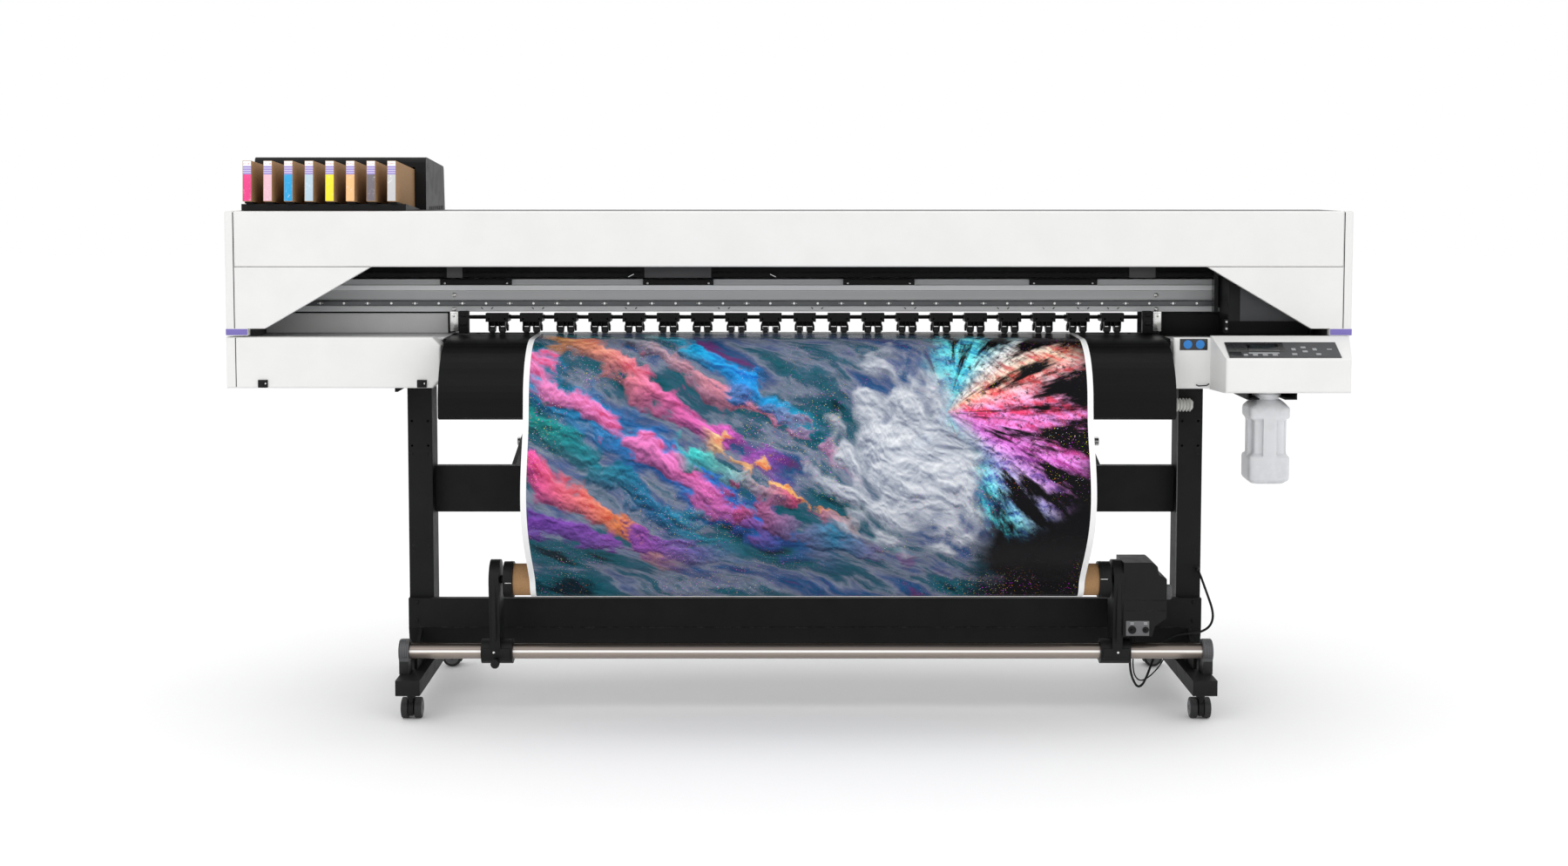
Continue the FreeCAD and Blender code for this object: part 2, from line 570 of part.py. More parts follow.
def panel_plate(x, v, h):
    """Thin plate on the console's slope: v runs down it from its rear edge, h stands off it."""
    angle = math.atan2(PANEL_HIGH_Z - PANEL_LOW_Z, FRONT_Y - PANEL_FRONT_Y)

    def place(down, high):
        return (FRONT_Y - down * math.cos(angle) - high * math.sin(angle),
                PANEL_HIGH_Z - down * math.sin(angle) + high * math.cos(angle))
    return prism_x([place(v[0], h[0]), place(v[1], h[0]), place(v[1], h[1]), place(v[0], h[1])], x)


# centre along X, place down the slope, and half sizes of each key
KEYS = [(1107, 95, 5, 4), (1130, 95, 6, 4), (1154, 95, 6, 4), (1178, 95, 6, 4), (1228, 69, 5, 5),
        (1253, 60, 6, 4), (1279, 69, 5, 5), (1254, 79, 6, 4), (1226, 92, 6, 4), (1284, 92, 6, 4)]


def panel_face():
    """Dark keypad plate with pockets for the keys."""
    plate = panel_plate((1066, 1337), (34, 105), (0.05, 2.4))
    for x, v, half_x, half_v in KEYS:
        pocket = panel_plate((x - half_x - KEY_GAP, x + half_x + KEY_GAP),
                             (v - half_v - KEY_GAP, v + half_v + KEY_GAP), (0.6, 4))
        plate = plate.cut(pocket)
    return plate


def panel_keys():
    return group(panel_plate((x - half_x, x + half_x), (v - half_v, v + half_v), (1.7, 3.4))
                 for x, v, half_x, half_v in KEYS)


# ---- ink unit ---------------------------------------------------------------------------------------
def ink_slope(y):
    """Drop of the cartons' line at a Y value, from their front faces."""
    return (y - FRONT_Y) * math.tan(math.radians(INK_TILT))


def ink_housing():
    """Black housing with a slot for each carton and a sloping tray in front."""
    y0, y1 = INK_HOUSING_Y
    x0, x1 = INK_HOUSING_X
    drop = (y1 - y0) * math.tan(math.radians(INK_TILT))
    shell = prism_x([(y0, REAR_TOP_Z), (y0, INK_HOUSING_TOP_Z), (y1 - 16, INK_HOUSING_TOP_Z - drop),
                     (y1, REAR_TOP_Z)], (x0, x1))
    shell = round_edges(shell, 14, lambda e, m: along("x")(e) and m.z > 1300)
    under = INK_FRONT_BOTTOM_Z - 4.6
    tray_y = FRONT_Y + 28
    tray = prism_x([(tray_y, LID_Z + 0.4), (tray_y, under - ink_slope(tray_y)),
                    (y0 + 2, under - ink_slope(y0 + 2)), (y0 + 2, REAR_TOP_Z), (STEP_Y + 1, REAR_TOP_Z),
                    (STEP_Y + 1, LID_Z + 0.4)], (x0 + 25, x1 - 10))
    housing = shell
    for i in range(INK_COUNT):
        x = INK_FIRST_X + i * INK_PITCH
        z = INK_FRONT_BOTTOM_Z - 5
        slot = prism_x([(y0 - 5, z - ink_slope(y0 - 5)), (300, z - ink_slope(300)),
                        (300, z + 110 - ink_slope(300)), (y0 - 5, z + 110 - ink_slope(y0 - 5))],
                       (x - 2, x + INK_WIDTH + 2))
        housing = housing.cut(slot)
    return fuse([housing, tray])


def ink_case(index):
    """Ink carton in its carrier tray; it pulls out to the front along its own slope."""
    x = INK_FIRST_X + index * INK_PITCH
    z = INK_FRONT_BOTTOM_Z
    carton = slab((x, x + INK_WIDTH), (FRONT_Y, FRONT_Y + INK_LENGTH), (z, z + INK_HEIGHT))
    tray = slab((x + 1, x + INK_WIDTH - 1), (FRONT_Y + 18, FRONT_Y + INK_LENGTH), (z - 4, z))
    case = fuse([carton, tray])
    case.rotate(V(x, FRONT_Y, z), V(1, 0, 0), -INK_TILT)
    return case


# ---- take-up unit -----------------------------------------------------------------------------------
def takeup_bracket(x, clamp_x, bore):
    """Upright arm from a clamp round the rail to the roll's axis."""
    radius = 50.0
    top = rod_x(x, TAKEUP_Y, TAKEUP_Z, radius)
    web = prism_x([(TAKEUP_Y - radius, TAKEUP_Z), (TAKEUP_Y + radius, TAKEUP_Z), (RAIL_Y + 34, RAIL_Z),
                   (RAIL_Y - 34, RAIL_Z)], x)
    collar = rod_x(clamp_x, RAIL_Y, RAIL_Z, 31)
    heel = slab(clamp_x, (RAIL_Y - 12, RAIL_Y + 44), (RAIL_Z - 28, RAIL_Z + 12))
    body = fuse([top, web, collar, heel])
    return body.cut(rod_x((clamp_x[0] - 1, clamp_x[1] + 1), RAIL_Y, RAIL_Z, RAIL_R + bore))


def core_holder(flange_x, hub_x, shaft_x):
    """Stepped flange with a hub inside the core and a shaft in the arm."""
    flange = rod_x(flange_x, TAKEUP_Y, TAKEUP_Z, 45)
    hub = rod_x(hub_x, TAKEUP_Y, TAKEUP_Z, CORE_BORE_R - RUNNING)
    shaft = rod_x(shaft_x, TAKEUP_Y, TAKEUP_Z, 10)
    return fuse([flange, hub, shaft])


def takeup_arm_left():
    arm = takeup_bracket((-742, -717), (-766, -688), 0.08)
    return arm.cut(rod_x((-743, -716), TAKEUP_Y, TAKEUP_Z, 10 + RUNNING))


def core_holder_left():
    return core_holder((-708, CORE_X[0] - 0.3), (CORE_X[0] - 0.3, CORE_X[0] + 26), (-738, -708))


def takeup_drive():
    """Right arm with the motor housing; the switches sit low on its front."""
    arm = takeup_bracket((804, 829), (777, 852), 0.3)
    outline = [(828, 209), (900, 209), (907, 235), (935, 255), (935, 355), (915, 362), (912, 384),
               (900, 394), (828, 394)]
    motor = prism_y(outline, (-225, -112))
    motor = round_edges(motor, 7, lambda e, m: along("y")(e) and m.x > 890 and m.z > 340)
    drive = fuse([arm, motor])
    drive = drive.cut(rod_x((803, 824), TAKEUP_Y, TAKEUP_Z, 10 + RUNNING))
    return drive.cut(rod_x((920, 936), TAKEUP_Y, 312, 5 + RUNNING))


def core_holder_right():
    return core_holder((CORE_X[1], 799), (CORE_X[1] - 26, CORE_X[1]), (799, 822))


def drive_knob():
    knob = rod_x((937.5, 953), TAKEUP_Y, 312, 18)
    return fuse([knob, rod_x((922, 937.5), TAKEUP_Y, 312, 5)])


def takeup_roll():
    """Cardboard core and the first turns of wound film."""
    core = tube_x(CORE_X, TAKEUP_Y, TAKEUP_Z, CORE_R, CORE_BORE_R)
    film = tube_x(MEDIA_X, TAKEUP_Y, TAKEUP_Z, TAKEUP_FILM_R, CORE_R)
    return group([core, film])


def supply_roll():
    """Full roll on its spindle at the back."""
    roll = tube_x(MEDIA_X, SUPPLY_Y, SUPPLY_Z, SUPPLY_R, CORE_R)
    spindle = rod_x((-735, 850), SUPPLY_Y, SUPPLY_Z, 12)
    holders = [rod_x((MEDIA_X[0] - 24, MEDIA_X[0]), SUPPLY_Y, SUPPLY_Z, 60),
               rod_x((MEDIA_X[1], MEDIA_X[1] + 24), SUPPLY_Y, SUPPLY_Z, 60)]
    core = tube_x(MEDIA_X, SUPPLY_Y, SUPPLY_Z, CORE_R, 12)
    return fuse([roll, spindle, core] + holders)


def supply_brackets():
    """Two arms on the upper cross beam that carry the supply spindle."""
    arms = []
    for x in (-712.0, 806.0):
        arm = prism_x([(35, 488), (35, 596), (300, 655), (SUPPLY_Y + 25, 655), (SUPPLY_Y + 25, 600),
                       (300, 592)], (x - 5, x + 5))
        foot = slab((x - 22, x + 22), (35, 39), (490, 597))
        bore = rod_x((x - 30, x + 30), SUPPLY_Y, SUPPLY_Z, 12 + RUNNING)
        arms.append(fuse([arm, foot]).cut(bore))
    return group(arms)


# ---- waste ink bottle -------------------------------------------------------------------------------
BOTTLE_X = (1150.0, 1254.0)
BOTTLE_Y = (-152.0, -52.0)
BOTTLE_Z = (577.0, 806.0)


def waste_bottle():
    """Square bottle with a gripped waist and a wide neck."""
    x0, x1 = BOTTLE_X
    low = slab(BOTTLE_X, BOTTLE_Y, (BOTTLE_Z[0], 650))
    waist = slab((x0 + 14, x1 - 14), (BOTTLE_Y[0] + 10, BOTTLE_Y[1] - 10), (640, 745))
    high = slab(BOTTLE_X, BOTTLE_Y, (735, 778))
    body = [round_edges(s, 12, lambda e, m: True) for s in (low, high)]
    waist = round_edges(waist, 10, lambda e, m: along("z")(e))
    middle = ((x0 + x1) / 2, (BOTTLE_Y[0] + BOTTLE_Y[1]) / 2)
    shoulder = Part.makeCone(44, 31, 14, V(middle[0], middle[1], 774))
    neck = rod_z((780, BOTTLE_Z[1]), middle[0], middle[1], 31)
    collar = rod_z((796.3, 802), middle[0], middle[1], 36)
    rib = slab((middle[0] - 16, middle[0] + 16), (BOTTLE_Y[0] + 2, BOTTLE_Y[1] - 2), (645, 740))
    return fuse(body + [waist, rib, shoulder, neck, collar])


def bottle_holder():
    """Slotted plate under the housing; the bottle's neck slides in from the front."""
    x = (BOTTLE_X[0] + BOTTLE_X[1]) / 2
    y = (BOTTLE_Y[0] + BOTTLE_Y[1]) / 2
    plate = slab((x - 62, x + 62), (-165, 12), (792, 796))
    slot = fuse([rod_z((790, 798), x, y, 31.6), slab((x - 31.6, x + 31.6), (-170, y), (790, 798))])
    walls = [slab((x - 62, x - 59), (-165, 12), (792, 822)), slab((x + 59, x + 62), (-165, 12), (792, 822))]
    back = slab((x - 62, x + 62), (9, 12), (792, 832))
    return fuse([plate.cut(slot), back] + walls)


def drain_hose():
    """Short ribbed hose end in front of the right leg's top."""
    x0, y, z = 974.0, -68.0, 769.0
    rings = [rod_x((x0 + 8 * i, x0 + 8 * i + 5), y, z, 17) for i in range(6)]
    lug = slab((x0 + 44, x0 + 52), (y, LEG_FRONT_Y), (z - 8, z + 8))
    return fuse([rod_x((x0, x0 + 52), y, z, 14), lug] + rings)


# ---- cables -----------------------------------------------------------------------------------------
POWER_ROUTE = [(1046, -43, 345), (1046, -63, 343), (1049, -84, 330), (1056, -97, 306), (1066, -101, 278),
               (1075, -100, 252), (1078, -98, 228), (1070, -97, 206), (1050, -96, 193), (1024, -95, 188),
               (992, -93, 184), (962, -93, 172), (940, -98, 152), (926, -108, 128), (915, -119, 104),
               (904, -128, 81), (893, -132, 63), (881, -133, 60), (871, -133, 76), (864, -132, 98),
               (862, -130, 124), (864, -128, 152), (866, -127, 181), (866, -127, 209)]
SENSOR_ROUTE = [(972, -47.5, 150), (970, -52, 130), (956, -67, 108), (935, -84, 88), (912, -98, 73),
                (892, -106, 68), (877, -112, 84), (872, -116, 114), (874, -118, 148), (877, -119, 180),
                (877, -120, 209)]
POWER_DIAMETER = 6.0
SENSOR_DIAMETER = 3.5


# ---- build ------------------------------------------------------------------------------------------
def build():
    nodes = {
        "left_stand_leg": stand_leg(-1),
        "right_stand_leg": stand_leg(1),
        "upper_cross_beam": upper_cross_beam(),
        "lower_cross_beam": lower_cross_beam(),
        "takeup_rail": takeup_rail(),
        "rail_end_clamps": rail_end_clamps(),
        "base_frame": base_frame(),
        "platen": platen(),
        "front_guide": front_guide(),
        "rear_guide": rear_guide(),
        "media_web": media_web(),
        "y_bar": y_bar(),
        "linear_rail": linear_rail(),
        "drive_belt": drive_belt(),
        "drive_pulley": pulley(PULLEY_X[0]),
        "idler_pulley": pulley(PULLEY_X[1]),
        "carriage": carriage(),
        "grit_roller": grit_roller(),
        "pinch_arms": pinch_arms(),
        "pinch_rollers": pinch_rollers(),
        "clamp_lever": clamp_lever(),
        "top_cover": top_cover(),
        "front_cover": front_cover(),
        "left_end_cover": end_cover(-1),
        "right_end_cover": end_cover(1),
        "corner_covers": corner_covers(),
        "left_lower_cover": left_lower_cover(),
        "panel_housing": panel_housing(),
        "panel_face": panel_face(),
        "panel_keys": panel_keys(),
        "ink_housing": ink_housing(),
        "takeup_arm_left": takeup_arm_left(),
        "core_holder_left": core_holder_left(),
        "takeup_drive": takeup_drive(),
        "core_holder_right": core_holder_right(),
        "drive_knob": drive_knob(),
        "takeup_roll": takeup_roll(),
        "supply_roll": supply_roll(),
        "supply_brackets": supply_brackets(),
        "waste_bottle": waste_bottle(),
        "bottle_holder": bottle_holder(),
        "drain_hose": drain_hose(),
        "power_cable": cord("power_cable", POWER_ROUTE, POWER_DIAMETER),
        "sensor_cable": cord("sensor_cable", SENSOR_ROUTE, SENSOR_DIAMETER),
    }
    for i in range(INK_COUNT):
        nodes["ink_case_%d" % (i + 1)] = ink_case(i)
    for row, y, heading in (("front", FOOT_Y[0] + 50, 0), ("rear", 360, 90)):
        for name, side in (("left", -1), ("right", 1)):
            turn = heading * side
            body, wheels = caster(STAND_X + side * LEG_OFFSET, y, turn)
            nodes["caster_%s_%s" % (row, name)] = body
            nodes["wheels_%s_%s" % (row, name)] = wheels
    return nodes


os.makedirs("parts", exist_ok=True)
for node, shape in build().items():
    if not shape.isValid() or any(not solid.isClosed() for solid in shape.Solids):
        print("NOT VALID", node)
    box = shape.BoundBox
    print("%-20s %3d solids  X %8.1f %8.1f  Y %7.1f %7.1f  Z %7.1f %7.1f  %9.1f cm3" % (
        node, len(shape.Solids), box.XMin, box.XMax, box.YMin, box.YMax, box.ZMin, box.ZMax,
        shape.Volume / 1000))
    shape.exportStep("parts/%s.step" % node)
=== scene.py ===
import json
import math
import bmesh
import bpy
import numpy as np
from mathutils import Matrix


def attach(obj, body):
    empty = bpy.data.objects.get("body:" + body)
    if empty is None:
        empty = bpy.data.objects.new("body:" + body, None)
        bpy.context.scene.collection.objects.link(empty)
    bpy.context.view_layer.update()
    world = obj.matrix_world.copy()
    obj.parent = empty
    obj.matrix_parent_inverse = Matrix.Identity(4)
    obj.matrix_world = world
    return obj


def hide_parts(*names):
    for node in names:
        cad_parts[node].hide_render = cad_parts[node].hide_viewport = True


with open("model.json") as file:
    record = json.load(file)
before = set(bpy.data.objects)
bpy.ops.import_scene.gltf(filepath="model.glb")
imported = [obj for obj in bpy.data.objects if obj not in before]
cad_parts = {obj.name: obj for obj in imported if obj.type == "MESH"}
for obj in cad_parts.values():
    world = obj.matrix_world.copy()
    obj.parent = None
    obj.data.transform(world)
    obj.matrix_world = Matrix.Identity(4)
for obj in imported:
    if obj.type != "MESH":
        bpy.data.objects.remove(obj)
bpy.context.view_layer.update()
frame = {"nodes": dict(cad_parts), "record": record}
nodes = frame["nodes"]
scene = bpy.context.scene
print("frame loaded:", len(nodes), "nodes")

# camera: level eye height in front of the printer, tilted slightly down
cameraLook = {"place": (-0.044, -5.30, 1.347), "pitch": 85.945, "lens": 47.674, "shift": (0.00833, -0.07)}
cameraData = bpy.data.cameras.new("studioCamera")
cameraData.lens = cameraLook["lens"]
cameraData.sensor_width = 36
cameraData.shift_x, cameraData.shift_y = cameraLook["shift"]
cameraData.clip_end = 60
camera = bpy.data.objects.new("studioCamera", cameraData)
camera.location = cameraLook["place"]
camera.rotation_euler = (math.radians(cameraLook["pitch"]), 0, 0)
scene.collection.objects.link(camera)
scene.camera = camera


# a node in a tree: inputs may be numbers, colours or other nodes' sockets
def put(tree, kind, inputs=None, **settings):
    node = tree.nodes.new(kind)
    for key, value in settings.items():
        setattr(node, key, value)
    for key, value in (inputs or {}).items():
        if isinstance(value, bpy.types.NodeSocket):
            tree.links.new(value, node.inputs[key])
        else:
            node.inputs[key].default_value = value
    return node


def calc(tree, operation, first, second=0.0, third=0.0, clamp=False):
    node = put(tree, "ShaderNodeMath", {0: first, 1: second, 2: third}, operation=operation)
    node.use_clamp = clamp
    return node.outputs[0]


def blendColour(tree, amount, first, second, way="MIX"):
    node = put(tree, "ShaderNodeMix", {"Factor": amount, 6: first, 7: second}, data_type="RGBA")
    node.blend_type = way
    return node.outputs[2]


def stepOf(tree, value, low, high, outLow=0.0, outHigh=1.0):
    return put(tree, "ShaderNodeMapRange",
               {"Value": value, "From Min": low, "From Max": high, "To Min": outLow, "To Max": outHigh},
               interpolation_type="SMOOTHSTEP").outputs[0]


def rampOf(tree, value, stops, way="LINEAR"):
    node = put(tree, "ShaderNodeValToRGB", {0: value})
    node.color_ramp.interpolation = way
    bar = node.color_ramp.elements
    while len(bar) < len(stops):
        bar.new(0.5)
    for element, (place, colour) in zip(bar, stops):
        element.position = place
        element.color = tuple(colour) + (1.0,)
    return node.outputs[0]


def noiseOf(tree, vector, scale, detail=2.0, rough=0.5):
    return put(tree, "ShaderNodeTexNoise",
               {"Vector": vector, "Scale": scale, "Detail": detail, "Roughness": rough}).outputs[0]


# an empty node group with named inputs and outputs
def startGroup(name, inputs, outputs):
    group = bpy.data.node_groups.new(name, "ShaderNodeTree")
    for title, kind, start in inputs:
        socket = group.interface.new_socket(title, in_out="INPUT", socket_type="NodeSocket" + kind)
        if start is not None:
            socket.default_value = start
    for title, kind in outputs:
        group.interface.new_socket(title, in_out="OUTPUT", socket_type="NodeSocket" + kind)
    return group, group.nodes.new("NodeGroupInput").outputs, group.nodes.new("NodeGroupOutput").inputs


def useGroup(tree, group, inputs):
    return put(tree, "ShaderNodeGroup", inputs, node_tree=group).outputs


# fine moulded or powder-coated grain, and a slow mottle of colour
def buildGrain():
    group, given, out = startGroup("surfaceGrain", [("Vector", "Vector", None), ("Scale", "Float", 900.0)],
                                   [("Height", "Float"), ("Mottle", "Float")])
    fine = noiseOf(group, given["Vector"], given["Scale"], 3.0, 0.6)
    pits = put(group, "ShaderNodeTexVoronoi", {"Vector": given["Vector"], "Scale": given["Scale"]}).outputs[0]
    slow = noiseOf(group, given["Vector"], 9.0, 4.0, 0.6)
    group.links.new(calc(group, "MULTIPLY_ADD", pits, 0.35, fine), out["Height"])
    group.links.new(stepOf(group, slow, 0.3, 0.7), out["Mottle"])
    return group


# rounded look on sharp edges, and a mask of those edges for wear
def buildEdge():
    group, given, out = startGroup("edgeWear", [("Radius", "Float", 0.001), ("Vector", "Vector", None)],
                                   [("Normal", "Vector"), ("Wear", "Float")])
    bevel = put(group, "ShaderNodeBevel", {"Radius": given["Radius"]}, samples=4).outputs[0]
    flat = put(group, "ShaderNodeNewGeometry").outputs["Normal"]
    dot = put(group, "ShaderNodeVectorMath", {0: bevel, 1: flat}, operation="DOT_PRODUCT").outputs["Value"]
    patches = stepOf(group, noiseOf(group, given["Vector"], 60.0, 4.0, 0.7), 0.42, 0.62)
    edge = stepOf(group, calc(group, "SUBTRACT", 1.0, dot), 0.02, 0.2)
    group.links.new(bevel, out["Normal"])
    group.links.new(calc(group, "MULTIPLY", edge, patches), out["Wear"])
    return group


# light dust that settles on faces that look up
def buildDust():
    group, given, out = startGroup("settledDust", [("Vector", "Vector", None), ("Amount", "Float", 0.2)],
                                   [("Mask", "Float")])
    up = put(group, "ShaderNodeSeparateXYZ",
             {0: put(group, "ShaderNodeNewGeometry").outputs["Normal"]}).outputs["Z"]
    specks = stepOf(group, noiseOf(group, given["Vector"], 240.0, 5.0, 0.75), 0.45, 0.75)
    cloud = noiseOf(group, given["Vector"], 14.0, 3.0, 0.6)
    both = calc(group, "MULTIPLY_ADD", specks, 0.6, calc(group, "MULTIPLY", cloud, 0.6))
    mask = calc(group, "MULTIPLY", both, stepOf(group, up, 0.5, 0.95))
    group.links.new(calc(group, "MULTIPLY", mask, given["Amount"], clamp=True), out["Mask"])
    return group


# drawn or ground metal: fine lines along X, and long tonal streaks
def buildBrushed():
    group, given, out = startGroup("drawnLines", [("Vector", "Vector", None), ("Stretch", "Vector", None)],
                                   [("Height", "Float"), ("Mottle", "Float")])
    lines = put(group, "ShaderNodeVectorMath", {0: given["Vector"], 1: given["Stretch"]},
                operation="MULTIPLY").outputs[0]
    group.links.new(noiseOf(group, lines, 1.0, 3.0, 0.7), out["Height"])
    group.links.new(stepOf(group, noiseOf(group, lines, 0.12, 3.0, 0.6), 0.3, 0.7), out["Mottle"])
    return group


# finger marks and wiped smears, as a change of gloss
def buildSmudge():
    group, given, out = startGroup("wipedSmears", [("Vector", "Vector", None), ("Scale", "Float", 12.0)],
                                   [("Mask", "Float")])
    bent = put(group, "ShaderNodeTexNoise",
               {"Vector": given["Vector"], "Scale": given["Scale"], "Detail": 4.0, "Distortion": 1.6}).outputs[0]
    group.links.new(stepOf(group, bent, 0.44, 0.68), out["Mask"])
    return group


surfaceGrain, edgeWear, settledDust = buildGrain(), buildEdge(), buildDust()
drawnLines, wipedSmears = buildBrushed(), buildSmudge()


# opens a material and returns it with its tree and its Object coordinates
def openMaterial(name):
    material = bpy.data.materials.new(name)
    material.use_nodes = True
    material.node_tree.nodes.clear()
    return material, material.node_tree, put(material.node_tree, "ShaderNodeTexCoord").outputs["Object"]


def closeMaterial(tree, look, colour, rough, normal, extra=None):
    inputs = {"Base Color": colour, "Roughness": rough, "Normal": normal, "Metallic": look.get("metal", 0.0),
              "Specular IOR Level": look.get("specular", 0.4), "Coat Weight": look.get("coat", 0.0),
              "Coat Roughness": look.get("coatRough", 0.1)}
    inputs.update(extra or {})
    shader = put(tree, "ShaderNodeBsdfPrincipled", inputs)
    put(tree, "ShaderNodeOutputMaterial", {"Surface": shader.outputs[0]})


# one finish from its settings: colour, mottle, edge wear, dust, smears, grain or drawn lines
def makeFinish(name, look, paint=None):
    material, tree, place = openMaterial(name)
    if "stretch" in look:
        grain = useGroup(tree, drawnLines, {"Vector": place, "Stretch": look["stretch"]})
    else:
        grain = useGroup(tree, surfaceGrain, {"Vector": place, "Scale": look["grain"]})
    base = paint(tree, place) if paint else look["colour"] + (1,)
    tint = blendColour(tree, 1.0, base, look["second"] + (1,), "MULTIPLY")
    colour = blendColour(tree, grain["Mottle"], base, tint)
    edge = useGroup(tree, edgeWear, {"Vector": place, "Radius": look["edge"]})
    colour = blendColour(tree, calc(tree, "MULTIPLY", edge["Wear"], look["wear"]), colour, look["worn"] + (1,))
    dust = useGroup(tree, settledDust, {"Vector": place, "Amount": look["dust"]})["Mask"]
    colour = blendColour(tree, dust, colour, (0.42, 0.41, 0.39, 1))
    smear = useGroup(tree, wipedSmears, {"Vector": place})["Mask"]
    rough = calc(tree, "MULTIPLY_ADD", smear, look["spread"], look["rough"])
    rough = calc(tree, "MULTIPLY_ADD", dust, 0.4, rough, clamp=True)
    bump = put(tree, "ShaderNodeBump", {"Height": grain["Height"], "Distance": look["depth"],
                                        "Strength": look.get("strength", 0.6), "Normal": edge["Normal"]})
    closeMaterial(tree, look, colour, rough, bump.outputs[0])
    return material


# what every finish starts from; each one below changes what it needs
plainLook = {"colour": (0.5, 0.5, 0.5), "second": (0.93, 0.93, 0.93), "grain": 900.0, "depth": 0.00004,
             "edge": 0.0012, "wear": 0.25, "worn": (0.5, 0.5, 0.5), "dust": 0.05, "rough": 0.45,
             "spread": 0.06}
looks = {
    "cover_white": {"colour": (0.76, 0.76, 0.75), "second": (0.97, 0.97, 0.965), "rough": 0.42, "edge": 0.002,
                    "worn": (0.72, 0.71, 0.68), "wear": 0.15, "dust": 0.03},
    "frame_black": {"colour": (0.0085, 0.0085, 0.009), "second": (0.8, 0.8, 0.8), "grain": 1400.0,
                    "depth": 0.00008, "worn": (0.04, 0.04, 0.04), "rough": 0.55, "specular": 0.16, "dust": 0.02},
    "frame_steel": {"colour": (0.06, 0.06, 0.063), "worn": (0.2, 0.2, 0.2), "rough": 0.45},
    "clamp_grey": {"colour": (0.10, 0.102, 0.106), "worn": (0.4, 0.4, 0.4), "rough": 0.4, "specular": 0.5},
    "guide_black": {"colour": (0.0035, 0.0035, 0.0038), "stretch": (3.0, 700.0, 700.0), "rough": 0.36,
                    "specular": 0.11, "worn": (0.08, 0.08, 0.08), "depth": 0.00002, "dust": 0.01},
    "bearing_rail": {"colour": (0.10, 0.105, 0.11), "stretch": (4.0, 800.0, 800.0), "metal": 1.0, "rough": 0.3,
                     "worn": (0.5, 0.5, 0.5)},
    "rubber_black": {"colour": (0.012, 0.012, 0.012), "rough": 0.7, "specular": 0.2},
    "tyre_rubber": {"colour": (0.022, 0.022, 0.023), "rough": 0.55, "specular": 0.3, "dust": 0.25,
                    "worn": (0.08, 0.08, 0.08)},
    "plastic_black": {"colour": (0.0065, 0.0065, 0.007), "second": (0.8, 0.8, 0.8), "grain": 1100.0,
                      "depth": 0.00007, "rough": 0.46, "specular": 0.2, "worn": (0.04, 0.04, 0.04), "dust": 0.03},
    "key_grey": {"colour": (0.33, 0.34, 0.35), "rough": 0.5, "edge": 0.0006},
    "hose_white": {"colour": (0.62, 0.62, 0.59), "rough": 0.45, "dust": 0.1},
    "cable_black": {"colour": (0.010, 0.010, 0.010), "rough": 0.42, "specular": 0.15, "grain": 1800.0},
    "roller_rubber": {"colour": (0.030, 0.030, 0.032), "rough": 0.6, "specular": 0.25},
    "steel_bright": {"colour": (0.6, 0.6, 0.6), "stretch": (900.0, 900.0, 900.0), "metal": 1.0, "rough": 0.28,
                     "worn": (0.7, 0.7, 0.7)},
    "film_white": {"colour": (0.86, 0.86, 0.86), "rough": 0.25, "specular": 0.5, "depth": 0.00001},
    "panel_light": {"colour": (0.70, 0.70, 0.70), "rough": 0.4, "specular": 0.4},
    "screw_steel": {"colour": (0.72, 0.72, 0.70), "stretch": (700.0, 700.0, 700.0), "metal": 1.0, "rough": 0.25,
                    "worn": (0.8, 0.8, 0.8), "edge": 0.0003},
    "accent_purple": {"colour": (0.19, 0.15, 0.46), "rough": 0.35, "edge": 0.0006},
    "seam_dark": {"colour": (0.004, 0.004, 0.004), "rough": 0.6, "specular": 0.15},
}
finish = {}
for title, changes in looks.items():
    finish[title] = makeFinish(title, {**plainLook, **changes})
print("plain finishes ready:", len(finish))


# the beam's bands, worked from its height: painted light and shade on the steps of its profile (a painted bright
# band, grey faces and a painted shaded groove) over the anodised aluminium's own light grey
def beamLightAndShadeBands(tree, place):
    height = put(tree, "ShaderNodeSeparateXYZ", {0: place}).outputs["Z"]
    level = put(tree, "ShaderNodeMapRange", {"Value": height, "From Min": 0.999, "From Max": 1.082}).outputs[0]
    # each band's tone is painted light and shade of its profile face, not a change in the metal
    bands = [(0.0, 0.74), (0.17, 0.52), (0.36, 0.62), (0.66, 0.94), (0.81, 0.70)]
    return rampOf(tree, level, [(start, (tone * 0.97, tone * 0.985, tone)) for start, tone in bands], "CONSTANT")


# the lid is white on top and outside behind its step, and dark in front of the step and on every face that looks
# forward, down or sideways: that dark is painted shade for the cover's shaded inside
def lidPaintedShade(tree, place):
    depth = put(tree, "ShaderNodeSeparateXYZ", {0: place}).outputs["Y"]
    facing = put(tree, "ShaderNodeSeparateXYZ", {0: put(tree, "ShaderNodeNewGeometry").outputs["True Normal"]})
    outside = calc(tree, "GREATER_THAN", calc(tree, "MAXIMUM", facing.outputs["Y"], facing.outputs["Z"]), 0.5)
    white = calc(tree, "MULTIPLY", outside, calc(tree, "GREATER_THAN", depth, 0.0415))
    return blendColour(tree, white, (0.008, 0.008, 0.009, 1), (0.76, 0.76, 0.75, 1))


# the polished tube's colour holds painted reflections: painted shade above, a painted highlight line along its
# middle, and tan below
def tubePaintedReflections(tree, place):
    height = put(tree, "ShaderNodeSeparateXYZ", {0: place}).outputs["Z"]
    level = put(tree, "ShaderNodeMapRange", {"Value": height, "From Min": 0.143, "From Max": 0.183}).outputs[0]
    return rampOf(tree, level, [(0.0, (0.30, 0.26, 0.24)), (0.3, (0.36, 0.31, 0.27)), (0.47, (0.42, 0.36, 0.32)),
                                (0.52, (0.98, 0.97, 0.95)), (0.60, (0.98, 0.97, 0.95)), (0.65, (0.26, 0.22, 0.20)),
                                (0.82, (0.20, 0.17, 0.15)), (0.90, (0.045, 0.036, 0.03))])


